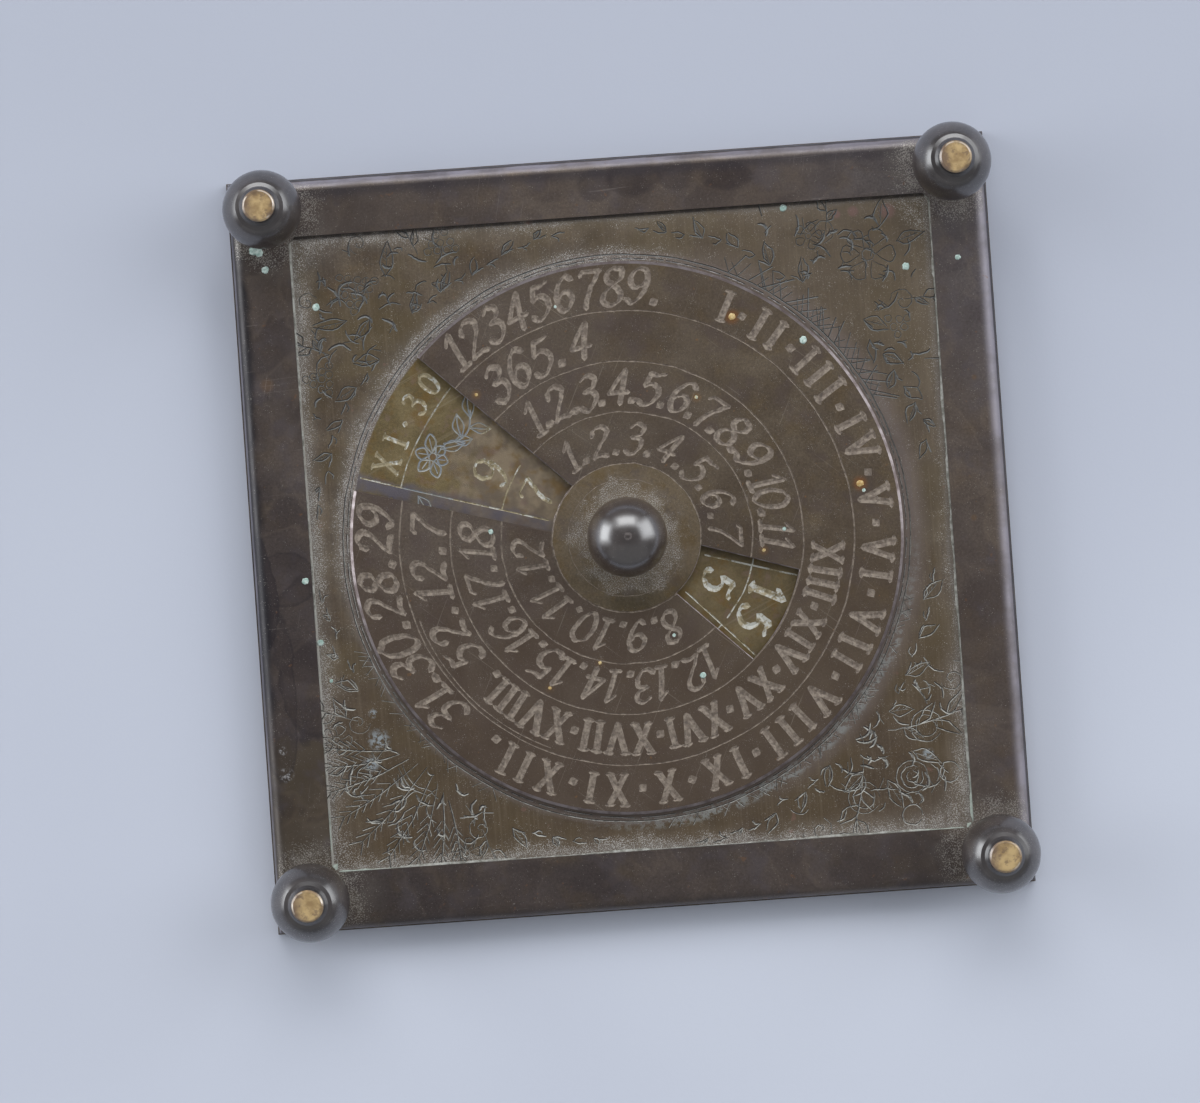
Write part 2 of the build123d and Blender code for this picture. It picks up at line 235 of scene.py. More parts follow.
def engraved_plate(name, loops, engraving, guides, surface, bottom, materials, body, zone=None):
    """Closed plate between an outline and its holes, with its grooves cut into the top.

    The top follows surface(points). Grooves take the second material, and zone(points) says which
    material the rest of the top takes.
    """
    loops = [np.array(loop) for loop in loops]
    for loop in loops:
        engraving.chain(loop, closed=True)
    for guide in guides:
        engraving.chain(guide)
    verts, _, tris, _, _, _ = delaunay_2d_cdt(engraving.verts, engraving.edges, [], 0, 1e-5)
    flat = np.array([(v.x, v.y) for v in verts])
    tris = np.array([t for t in tris if len(t) == 3])
    middle = flat[tris].mean(1)
    keep = in_metal(middle, loops)
    tris, middle = tris[keep], middle[keep]
    clockwise = twice_area(*(flat[tris[:, k]] for k in range(3))) < 0
    tris[clockwise] = tris[clockwise][:, ::-1]
    used, flat_index = np.unique(tris, return_inverse=True)
    tris = flat_index.reshape(-1, 3)
    flat = flat[used]
    height = surface(flat) - engraving.depth(flat)
    kinds = np.where(engraving.depth(middle) > 0.003, 1, zone(middle) if zone else 0).tolist()

    # walls from the border of the top down to the flat back
    directed = {(int(t[k]), int(t[(k + 1) % 3])): True for t in tris for k in range(3)}
    border = [e for e in directed if (e[1], e[0]) not in directed]
    ring = sorted({v for e in border for v in e})
    place = {v: k for k, v in enumerate(ring)}
    first = len(flat)
    all_verts = [(x, y, z) for (x, y), z in zip(flat, height)] + [(*flat[v], bottom) for v in ring]
    faces = [tuple(int(v) for v in t) for t in tris]
    faces += [(p, first + place[p], first + place[q], q) for p, q in border]
    ring_flat = flat[ring]
    ring_edges = [(place[p], place[q]) for p, q in border]
    ring_verts = [Vector(v) for v in ring_flat.tolist()]
    _, _, under, origin, _, _ = delaunay_2d_cdt(ring_verts, ring_edges, [], 0, 1e-6)
    back = np.array([[origin[v][0] for v in t] for t in under if len(t) == 3])
    for t in back[in_metal(ring_flat[back].mean(1), loops)]:
        if twice_area(*ring_flat[t]) > 0:
            t = t[::-1]
        faces.append(tuple(first + int(v) for v in t))
    kinds += [0] * (len(faces) - len(kinds))
    return new_object(name, all_verts, faces, materials, body, kinds)


# ---------------------------------------------------------------- figures, cut with a broad point

# Each figure: its width, then its strokes, in hundredths of its height. A stroke marked ~ is curved.
FIGURES = {
    "0": (58, "~ 30,99 12,84 5,50 12,15 30,0 48,15 55,50 48,84 30,99"),
    "1": (42, "8,76 26,97 / 26,97 27,3 / 10,2 44,2"),
    "2": (60, "~ 7,72 12,92 32,99 50,86 47,64 28,36 7,6 / ~ 7,5 30,9 56,3"),
    "3": (56, "~ 8,85 25,99 46,88 43,66 20,54 / ~ 20,54 45,50 53,28 41,6 20,0 4,13"),
    "4": (62, "40,98 4,32 / 4,32 60,33 / 42,98 41,0"),
    "5": (58, "~ 16,93 34,90 52,98 / 16,93 11,56 / ~ 11,56 31,63 51,49 53,24 35,3 13,2 3,13"),
    "6": (58, "~ 50,88 32,98 12,72 6,36 19,5 41,6 53,30 40,53 20,50 8,32"),
    "7": (54, "4,84 10,95 54,95 / ~ 54,95 40,62 26,30 22,0"),
    "8": (58, "~ 30,54 11,70 14,92 30,99 47,91 48,70 30,54 9,34 8,11 30,0 52,11 51,34 30,54"),
    "I": (34, "17,97 17,3 / 2,99 32,99 / 2,1 32,1"),
    "V": (78, "13,98 40,4 / 40,4 65,98 / 0,99 26,99 / 54,99 77,99"),
    "X": (74, "13,98 60,2 / 60,98 13,2 / 2,99 25,99 / 50,99 70,99 / 3,1 24,1 / 49,1 72,1"),
}
DOT_WIDTH = 0.3
DOT_HEIGHT = {".": 0.09, "-": 0.45}


def figure(c):
    """Width of a character, and its strokes as (points, curved)."""
    if c in DOT_HEIGHT:
        y = DOT_HEIGHT[c]
        return DOT_WIDTH, [([(0.12, y - 0.02), (0.18, y + 0.02)], False)]
    if c == "9":  # a 6 on its head
        width, ((points, curved),) = figure("6")
        return width, [([(width - x, 1 - y) for x, y in points], curved)]
    width, text = FIGURES[c]
    strokes = []
    for stroke in text.split("/"):
        points = [tuple(int(v) / 100 for v in p.split(",")) for p in stroke.strip(" ~").split()]
        strokes.append((points, "~" in stroke))
    return width / 100, strokes


def ring_text(engraving, text, radius, height, start, end, italic, thick, depth=0.13):
    """Figures round the pivot, tops outward, spread evenly from the start clockwise to the end."""
    widths = [figure(c)[0] for c in text]
    middle_radius = radius + 0.45 * height
    room = math.radians(start - end) * middle_radius / height
    gap = (room - sum(widths)) / max(len(text) - 1, 1)
    nib = math.radians(38 if italic else 12)
    thin = thick * 0.36
    x0 = 0.0
    for c, width in zip(text, widths):
        size = rng.uniform(0.95, 1.05)
        turn = rng.uniform(-0.035, 0.035)
        lift = rng.uniform(-0.025, 0.025)
        for points, curved in figure(c)[1]:
            p = smooth_line(points, 4) if curved else np.array(points, float)
            p = p + np.array([[rng.gauss(0, 0.008), rng.gauss(0, 0.008)] for _ in p])
            if not curved and len(p) == 2 and c not in DOT_HEIGHT:
                bow = np.array([rng.gauss(0, 0.006), rng.gauss(0, 0.006)])
                p = np.array([p[0], p.mean(0) + bow, p[1]])
            along = np.gradient(p, axis=0)
            angle = np.arctan2(along[:, 1], along[:, 0])
            half = (thin + (thick - thin) * np.abs(np.sin(angle - nib))) / 2 * rng.uniform(0.92, 1.08)
            if c in DOT_HEIGHT:
                half = np.full(len(p), thick * 0.62)
            if italic:
                p = p + np.stack([0.2 * p[:, 1], 0 * p[:, 1]], 1)
            spin = np.array([[math.cos(turn), math.sin(turn)], [-math.sin(turn), math.cos(turn)]])
            p = (p - [width / 2, 0.5]) @ spin * size + [width / 2, 0.5 + lift]
            bearing = np.radians(start) - (x0 + p[:, 0]) * height / middle_radius
            reach = radius + p[:, 1] * height
            place = PIVOT + np.stack([np.cos(bearing), np.sin(bearing)], 1) * reach[:, None]
            engraving.cut(place, half * height, depth * rng.uniform(0.9, 1.1))
        x0 += width + gap


def hand_arc(engraving, radius, start, end, width=0.23, depth=0.09, wobble=0.05, chord=5.0):
    """A line that follows a circle in short hand-cut chords. A full turn is closed."""
    closed = abs(end - start) >= 359.9
    count = max(int(abs(end - start) / chord), 1)
    knots = [radius + rng.gauss(0, wobble) for _ in range(count + 1)]
    points, halves = [], []
    for k in range(count):
        for j in range(3):
            t = (k + j / 3) / count
            r = knots[k] + (knots[(k + 1) % count if closed else k + 1] - knots[k]) * j / 3
            points.append(polar(r, start + (end - start) * t))
            halves.append(width / 2 * rng.uniform(0.8, 1.2))
    if not closed:
        points.append(polar(knots[-1], end))
        halves.append(width / 2)
    engraving.cut(points, halves, depth, closed)


# ---------------------------------------------------------------- the disc

# Rows of figures: radius of their feet, height, first and last angle, italic, broadest stroke.
DISC_ROWS = (
    ("123456789.", 36.7, 5.7, 131.5, 78.5, True, 0.19),
    ("I-II-III-IV-V-VI-VII-VIII-IX-X-XI-XII.", 37.1, 4.8, 64.0, -128.0, False, 0.23),
    ("31.30.28.29", 36.6, 5.8, -136.0, -190.5, True, 0.19),
    ("365.4", 28.7, 5.7, 130.0, 97.0, True, 0.19),
    ("XIII-XIV-XV-XVI-XVII-XVIII.", 29.2, 4.7, -5.0, -139.0, False, 0.23),
    ("52.12.7", 28.7, 5.5, -144.0, -188.5, True, 0.19),
    ("1.2.3.4.5.6.7.8.9.10.11", 20.9, 5.4, 128.5, -7.0, True, 0.18),
    ("12.13.14.15.16.17.18", 20.9, 5.3, -56.0, -187.5, True, 0.18),
    ("1.2.3.4.5.6.7", 13.1, 5.0, 127.0, -4.0, True, 0.18),
    ("8.9.10.11.12", 13.1, 5.0, -60.0, -181.0, True, 0.18),
)

disc_cuts = Engraving()
for ring_radius in DISC_RINGS:
    hand_arc(disc_cuts, ring_radius, 0, 360)
hand_arc(disc_cuts, 35.05, 198, 246, 0.2, 0.08, 0.03)
hand_arc(disc_cuts, 9.2, 60, 330, 0.1, 0.03, 0.04)
for row in DISC_ROWS:
    ring_text(disc_cuts, *row)

large, small = LARGE_WINDOW, SMALL_WINDOW
disc_outline = arc(DISC_RADIUS, large.outer_angles[1], large.outer_angles[0] + 360, RIM_STEPS)
disc_outline += arc(large.inner, *large.inner_angles, 20)
small_outline = arc(small.inner, *small.inner_angles, 20)
small_outline += arc(small.outer, *small.outer_angles[::-1], 36)
h = SQUARE_HOLE / 2
square_hole = [PIVOT + np.array(c) for c in ((-h, -h), (h, -h), (h, h), (-h, h))]


def segments(points):
    return list(zip(points, points[1:]))


# The filed sides: all of the small window's, and the large window's upper and inner ones.
filed_sides = segments(disc_outline[RIM_STEPS:]) + segments(small_outline + small_outline[:1])


def guide_line(start, end, away):
    """The line EDGE_BREAK outside a window's straight side."""
    along = (end - start) / np.linalg.norm(end - start)
    out = np.array([-along[1], along[0]])
    out = out if out @ away > 0 else -out
    return [start + out * EDGE_BREAK - along * 0.2, end + out * EDGE_BREAK + along * 0.2]


rim_angles = large.outer_angles[1] + 0.15, large.outer_angles[0] + 359.85
disc_guides = [arc(DISC_RADIUS - w, *rim_angles, RIM_STEPS) for w in (BEVEL_WIDTH, 0.2)]
for window in (large, small):
    centre = polar(25, sum(window.outer_angles) / 2)
    for inner_angle, outer_angle in zip(window.inner_angles, window.outer_angles):
        a, b = polar(window.inner, inner_angle), polar(window.outer, outer_angle)
        disc_guides.append(guide_line(a, b, (a + b) / 2 - centre))
    first, last = window.inner_angles
    disc_guides.append(arc(window.inner - EDGE_BREAK, first - 1, last + 1, 22))
first, last = small.outer_angles
disc_guides.append(arc(small.outer + EDGE_BREAK, first - 0.5, last + 0.5, 38))


def disc_surface(points):
    radius = np.linalg.norm(points - PIVOT, axis=1)
    drop = BEVEL_DROP * np.clip((radius - DISC_RADIUS + BEVEL_WIDTH) / BEVEL_WIDTH, 0, 1)
    for side in filed_sides:
        distance, _ = segment_distance(points, *side)
        drop = np.maximum(drop, np.clip(EDGE_BREAK - distance, 0, EDGE_BREAK) * 0.8)
    return DISC_TOP - drop


def disc_zone(points):
    """Third material on the filed window edges and the bevel."""
    edge = np.linalg.norm(points - PIVOT, axis=1) > DISC_RADIUS - BEVEL_WIDTH
    for side in filed_sides:
        edge |= segment_distance(points, *side)[0] < EDGE_BREAK
    return np.where(edge, 2, 0)


# ---------------------------------------------------------------- the dial plate

dial_cuts = Engraving()
MONTHS = ["I", "II", "III", "IV", "V", "VI", "VII", "VIII", "IX", "X", "XI", "XII"]
DAYS = [31, 28, 31, 30, 31, 30, 31, 31, 30, 31, 30, 31]
NOVEMBER_ANGLE = 148.5
MOTIF_SIZE = 1.15


def motif(angle, radius, kind):
    """The month's flower: petals round an eye, a bent stem and two leaves, lying along the ring."""

    def place(along, out):
        return polar(radius + out * MOTIF_SIZE, angle + math.degrees(along * MOTIF_SIZE / radius))

    def line(points, half, depth, bent=True):
        points = [place(*p) for p in points]
        dial_cuts.cut(smooth_line(points, 4) if bent else points, half, depth)

    petals = 4 + kind % 4
    spin = rng.uniform(0, 6)
    eye = (2.6, 0.9)
    for k in range(petals):
        a = spin + 2 * math.pi * k / petals
        c, d = math.cos(a), math.sin(a)
        reach = rng.uniform(2.1, 3.1)
        petal = ((0.55, 0), (reach * 0.6, 0.8), (reach, 0.1), (reach * 0.6, -0.7), (0.55, 0))
        vein = ((0.9, 0.1), (reach * 0.8, -0.05))
        for shape, half, depth, bent in ((petal, 0.15, 0.1, True), (vein, 0.1, 0.07, False)):
            line([(eye[0] + u * c - v * d, eye[1] + u * d + v * c) for u, v in shape], half, depth, bent)
    line(circle(eye, 0.55, 0.3, 6.2, 9), 0.12, 0.09, False)
    line(((0.4, 0.3), (-1.2, -1.3), (-3.2, -1.6), (-5.4, -0.4 + 0.2 * (kind % 3))), 0.15, 0.1)
    for u, v, lean in ((1.2, 0.4, -1), (-0.6, -0.8, -1), (-1.6, -1.4, 1), (-3.4, -1.5, -1), (-4.6, -0.9, 1)):
        tip = (u - rng.uniform(1.6, 2.4), v + lean * rng.uniform(1.6, 2.6))
        for bulge in (0.6, 0.1, -0.5):
            line(((u, v), ((u + tip[0]) / 2 + bulge, (v + tip[1]) / 2 + bulge * lean), tip), 0.12, 0.09)


# Each month's sector: its number and days, its flower, and the hours of daylight and of sunrise.
for month in range(12):
    middle = NOVEMBER_ANGLE - 30 * (month - 10)
    line = [polar(r, middle + 15 + rng.gauss(0, 0.1)) for r in (12.6, 20, 28, 36, 42.9)]
    dial_cuts.cut(line, 0.13, 0.09)
    title = MONTHS[month] + "-" + str(DAYS[month])
    ring_text(dial_cuts, title, 37.5, 3.9, middle + 12.5, middle - 12, False, 0.18, 0.11)
    motif(middle - 0.5, 32.0, month)
    season = math.cos(2 * math.pi * (month + 1) / 12)
    daylight, sunrise = round(12 - 4 * season), round(6 + 1.6 * season)
    reach = 9.5 if daylight > 9 else 6
    for hours, radius, height, spread, thick in (
        (daylight, 20.9, 5.7, reach, 0.2 if daylight > 9 else 0.13),
        (sunrise, 13.2, 5.4, 7, 0.19 if sunrise < 7 else 0.13),
    ):
        start, end = middle + spread, middle - spread
        ring_text(dial_cuts, str(hours), radius, height, start, end, False, thick, 0.12)
for ring_radius in DIAL_RINGS:
    for k in range(12):
        if rng.random() < 0.85:
            start = NOVEMBER_ANGLE + 15 + 30 * k
            hand_arc(dial_cuts, ring_radius, start, start - rng.uniform(14, 30), 0.22, 0.08, 0.05, 6)


# Ornament on the dial plate's corners. Every motif takes its place and direction. A corner is named by
# its quarter, 0 to 3 from the top right counter-clockwise.


def scratch(points, width=0.36, depth=0.12, per_span=3):
    """One engraved stroke with a living edge."""
    p = smooth_line(points, per_span)
    p = p + np.array([[rng.gauss(0, 0.05), rng.gauss(0, 0.05)] for _ in p])
    taper = np.sin(np.linspace(0.35, math.pi - 0.35, len(p))) ** 0.5
    dial_cuts.cut(p, width * 0.42 * taper * rng.uniform(0.8, 1.2), depth * rng.uniform(0.8, 1.15))


def stroke(points, origin, angle, *cut):
    """A scratch whose points are given in the axes of a motif."""
    scratch([turned(p, origin, angle) for p in points], *cut)


def leaf(origin, angle, length, vein=True):
    for side in (1, -1):
        width = length * rng.uniform(0.14, 0.3)
        end = (length * rng.uniform(0.9, 1.1), side * rng.uniform(-0.1, 0.3))
        stroke(((0, 0), (length * rng.uniform(0.35, 0.55), side * width), end), origin, angle, 0.32)
    if vein:
        stroke(((length * 0.1, 0), (length * 0.8, 0.1)), origin, angle, 0.24, 0.07, 2)
        for k in range(3):
            x = length * (0.3 + 0.17 * k)
            stroke(((x, 0), (x + 0.6, length * 0.12)), origin, angle, 0.2, 0.06, 1)


def sprig(origin, angle, length, bend, pairs, leaf_length):
    """A bent stem with leaves on both sides and one at its tip."""
    stem = []
    x, y, a = origin[0], origin[1], math.radians(angle)
    for k in range(pairs * 2 + 1):
        stem.append(((x, y), math.degrees(a)))
        x += math.cos(a) * length / (pairs * 2)
        y += math.sin(a) * length / (pairs * 2)
        a += math.radians(bend) / (pairs * 2)
    scratch([p for p, _ in stem], 0.24, 0.08, 2)
    for k, (p, heading) in enumerate(stem[1:-1]):
        lean = 38 if k % 2 else -38
        leaf(p, heading + lean + rng.uniform(-6, 6), leaf_length * rng.uniform(0.8, 1.1), k % 3 == 0)
    leaf(*stem[-1], leaf_length)


def wheat(origin, angle, length):
    """An ear: a stalk with pairs of short strokes along its upper half."""
    stroke(((0, 0), (length * 0.5, length * 0.03), (length, 0)), origin, angle, 0.3)
    for k in range(7):
        x = length * (0.36 + 0.1 * k)
        for side in (1, -1):
            stroke(((x, 0.1 * side), (x + 1.7, 1.15 * side)), origin, angle, 0.4, 0.12, 2)


def berries(origin, angle, rows):
    """A hanging bunch of small rings."""
    for row in range(rows):
        for k in range(rows - row):
            centre = turned((row * 1.25, (k - (rows - row - 1) / 2) * 1.45), origin, angle)
            centre = centre + [rng.gauss(0, 0.1), rng.gauss(0, 0.1)]
            scratch(circle(centre, 0.58, 0.4, 2 * math.pi + 0.2, 9), 0.2, 0.07, 1)


def blossom(origin, radius, petals):
    low, high = (radius * 0.8, -radius * 0.32), (radius * 0.8, radius * 0.32)
    for k in range(petals):
        a = 360 * k / petals + rng.uniform(-5, 5)
        stroke(((radius * 0.3, -0.1), low, (radius, 0), high, (radius * 0.3, 0.1)), origin, a, 0.22)
    scratch(circle(origin, radius * 0.24, 0, 2 * math.pi, 8), 0.2, 0.07, 1)


def scroll(origin, angle, size, hand):
    """A tendril that rolls up at its end."""
    points = []
    for k in range(16):
        t = k / 15
        a = math.radians(hand * t * 480)
        r = size * (1 - t) ** 0.8
        points.append((size * 1.4 - r * math.cos(a) * 0.8, hand * size * 0.7 - r * math.sin(a) * 0.8))
    stroke(points, origin, angle, 0.2, 0.07, 2)


def hatching(start, end, low=0.7, high=1.7, gap=1.1, share=0.4):
    """Short strokes in two directions that lie against the ring round the disc."""
    foot_radius = OUTER_RING + 0.1
    angle = start
    while angle < end:
        for lean in (1, -1):
            foot, reach = angle + rng.uniform(-0.4, 0.4), rng.uniform(low, high)
            tip = foot + lean * rng.uniform(0.5, 1.3) * reach
            if rng.random() < share:
                line = [polar(foot_radius, foot), polar(foot_radius + reach, tip)]
                scratch(line, 0.18 + 0.07 * reach, 0.09, 1)
        angle += gap * rng.uniform(0.7, 1.3)


def corner_point(quarter, along, across):
    """A point in a corner: along its diagonal from the pivot, and across it, counter-clockwise."""
    return turned((along, across), (0, 0), 45 + 90 * quarter)


def place(quarter, along, across, heading):
    """A point in a corner and a direction measured from its diagonal."""
    return corner_point(quarter, along, across), 45 + 90 * quarter + heading


def edge_room(origin, heading):
    """How far one can go from a place before the lip of the frame."""
    a = math.radians(heading)
    room = 99.0
    for value, step_out, half in zip(origin, (math.cos(a), math.sin(a)), OPENING):
        if abs(step_out) > 1e-6:
            room = min(room, ((half - 1.6) * (1 if step_out > 0 else -1) - value) / step_out)
    return max(room, 0.8)


THICKET_INNER, THICKET_HALF = 46.4, (47.6, 47.2)  # clear of the ring and of the frame's lip


def thicket(quarter, count):
    """Small hooks, forks and curls strewn between the larger pieces of a corner."""
    while count:
        origin = corner_point(quarter, rng.uniform(47, 63), rng.uniform(-24, 24))
        radius = np.linalg.norm(origin - PIVOT)
        if radius < THICKET_INNER or abs(origin[0]) > THICKET_HALF[0] or abs(origin[1]) > THICKET_HALF[1]:
            continue
        count -= 1
        heading = 45 + 90 * quarter + rng.uniform(-75, 75)
        bend = rng.choice((-1, 1)) * rng.uniform(8, 45)
        length = min(rng.uniform(1.2, 4.2), edge_room(origin, heading))
        points, here = [origin], origin
        for _ in range(3):
            heading += bend
            here = turned((length / 3, 0), here, heading)
            points.append(here)
        scratch(points, rng.uniform(0.28, 0.56), 0.12, 2)
        if rng.random() < 0.5:
            scratch([points[1], turned((length * 0.45, 0.2), points[1], heading + 70)], 0.32, 0.1, 2)


def bough(radius, start, end, leaf_length, step):
    """A twig along a circle about the pivot, in short strokes, with leaves and buds on both sides."""
    count = max(int(abs(end - start) / step), 2)
    hand = 1 if end > start else -1
    for k in range(count):
        bearing = start + (end - start) * (k + 0.4) / count
        foot = polar(radius + rng.gauss(0, 0.45), bearing)
        stroke(((0, 0), (1.1, rng.uniform(-0.3, 0.3)), (2.1, 0.1)), foot, bearing + hand * 90, 0.34, 0.1, 3)
        outward = k % 2 == 0
        heading = bearing + hand * (48 if outward else 130) + rng.uniform(-14, 14)
        if outward or radius > 49.2:
            length = min(leaf_length * rng.uniform(0.75, 1.15), edge_room(foot, heading))
            leaf(foot, heading, length, k % 3 != 1)
        else:
            stroke(((0, 0), (0.9, 0.2), (1.4, -0.2)), foot, heading, 0.3)


# top right: a blossom over two boughs, ears at the sides
blossom(corner_point(0, 57.5, 0.5), 4.3, 6)
blossom(corner_point(0, 53.5, 9.5), 2.2, 5)
berries(*place(0, 51.5, -10, -20), 3)
bough(49.0, 50, 84, 3.6, 3.4)
bough(49.6, 40, 12, 3.6, 3.4)
for side in (1, -1):
    scroll(*place(0, 54.5, 4.5 * side, 48 * side), 2.6, side)
leaf(*place(0, 62, 2, 35), 4.4)
leaf(*place(0, 62, -1.5, -30), 4.4)
sprig(*place(0, 56, 8, 38), 9, 18, 3, 2.6)
sprig(*place(0, 56, -8.5, -42), 9, -18, 3, 2.6)
for side in (1, -1):
    wheat(*place(0, 51, 17 * side, 52 * side), 9)
# top left: bunches of berries under leaves
berries(*place(1, 56, -0.5, 5), 5)
leaf(*place(1, 55.5, 4.2, 52), 5.6)
leaf(*place(1, 55.5, -5, -52), 5.6)
leaf(*place(1, 53, 1.5, 95), 4.2)
berries(*place(1, 51.5, 13, 42), 4)
berries(*place(1, 51.5, -14, -42), 4)
bough(48.8, 139, 172, 3.4, 3.3)
bough(48.8, 131, 98, 3.4, 3.3)
sprig(*place(1, 54, 10, 20), 9, 16, 3, 2.8)
sprig(*place(1, 54, -11, -20), 9, -16, 3, 2.8)
for side in (1, -1):
    scroll(*place(1, 62, 3 * side, 60 * side), 2.0, side)
# bottom left: a sheaf of ears
for k in range(-4, 5):
    wheat(*place(2, 49 + 0.4 * abs(k), 1.5 * k, 13 * k), 16 - 1.1 * abs(k))
for along, half in ((52, 3.4), (51.2, 3.2)):
    tie = ((along, -half), (along + 1, 0), (along, half))
    scratch([corner_point(2, *p) for p in tie], 0.3)
bough(48.6, 243, 262, 3.4, 3.2)
bough(48.6, 207, 186, 3.4, 3.2)
for side in (1, -1):
    sprig(*place(2, 50.5, 13 * side, 62 * side), 15, 14 * side, 4, 3.2)
for side in (1, -1):
    scroll(*place(2, 50, 9 * side, 52 * side), 2.4, side)
for side in (1, -1):
    blossom(corner_point(2, 55, 13.5 * side), 2.4, 5)
# bottom right: fruit on leafy twigs
for along, across, rings in ((58.5, 0, 3), (55, 7.5, 2), (55, -7.5, 2), (62.5, 4.5, 1), (62.5, -4.5, 1)):
    for ring in range(rings):
        size = (2.5 if rings > 1 else 1.6) - 0.8 * ring
        scratch(circle(corner_point(3, along, across), size, ring, ring + 5.7, 17), 0.27, 0.09, 1)
for side in (1, -1):
    sprig(*place(3, 51, 3 * side, 52 * side), 19, 20 * side, 4, 4.4)
for side in (1, -1):
    leaf(*place(3, 56, 3 * side, 20 * side), 5)
bough(48.8, 321, 350, 3.6, 3.3)
bough(48.8, 309, 279, 3.6, 3.3)
for side in (1, -1):
    scroll(*place(3, 53, 12 * side, 60 * side), 2.4, side)
for side in (1, -1):
    sprig(*place(3, 51.5, 18 * side, 40 * side), 8, 10 * side, 3, 2.8)

for quarter, count in enumerate((40, 52, 44, 42)):
    thicket(quarter, count)
for start, end in ((316, 346), (200, 238), (276, 312)):
    hatching(start, end)
hatching(26, 66, 1.2, 3.8, 1.3, 0.85)
hand_arc(dial_cuts, OUTER_RING, 0, 360, 0.22, 0.08, 0.05, 4)
angle = 0.0
while angle < 360:
    dash = rng.uniform(2.5, 7)
    hand_arc(dial_cuts, BROKEN_RING, angle, min(angle + dash, 359.5), 0.2, 0.07, 0.04, 3)
    angle += dash + rng.uniform(0.5, 2.0)

dial_sides = [(dial_low.x / MM, dial_high.x / MM), (dial_low.y / MM, dial_high.y / MM)]
dial_outline = [(dial_sides[0][i], dial_sides[1][j]) for i, j in ((0, 0), (1, 0), (1, 1), (0, 1))]
dial_bore = arc(DIAL_BORE, 0, 355, 71)


# ---------------------------------------------------------------- materials


def srgb(red, green, blue):
    """Linear colour from 0-255 values."""
    shares = (red / 255, green / 255, blue / 255)
    return tuple(c / 12.92 if c <= 0.04045 else ((c + 0.055) / 1.055) ** 2.4 for c in shares) + (1.0,)


class Value:
    """What a node puts out. Sums, differences and products of values add math nodes."""

    def __init__(self, look, socket):
        self.look, self.socket = look, socket

    def __add__(self, other):
        return self.look.math("ADD", self, other)

    def __sub__(self, other):
        return self.look.math("SUBTRACT", self, other)

    def __rsub__(self, other):
        return self.look.math("SUBTRACT", other, self)

    def __mul__(self, other):
        return self.look.math("MULTIPLY", self, other)

    def __abs__(self):
        return self.look.math("ABSOLUTE", self)

    def most(self, other):
        return self.look.math("MAXIMUM", self, other)

    def least(self, other):
        return self.look.math("MINIMUM", self, other)

    def step(self, low, high, out_low=0.0, out_high=1.0):
        """A soft step from out_low to out_high as the value goes from low to high."""
        node = self.look.add("ShaderNodeMapRange", interpolation_type="SMOOTHSTEP")
        for socket, v in zip(node.inputs, (self, low, high, out_low, out_high)):
            self.look.feed(socket, v)
        return Value(self.look, node.outputs[0])

    def fall(self, low, high, force=1.0):
        """A soft step down from force to 0."""
        return self.step(low, high, force, 0.0)

    def band(self, low, full, fall, high, force=1.0):
        """0 outside low and high, up to force between full and fall."""
        return self.step(low, full) * self.fall(fall, high, force)


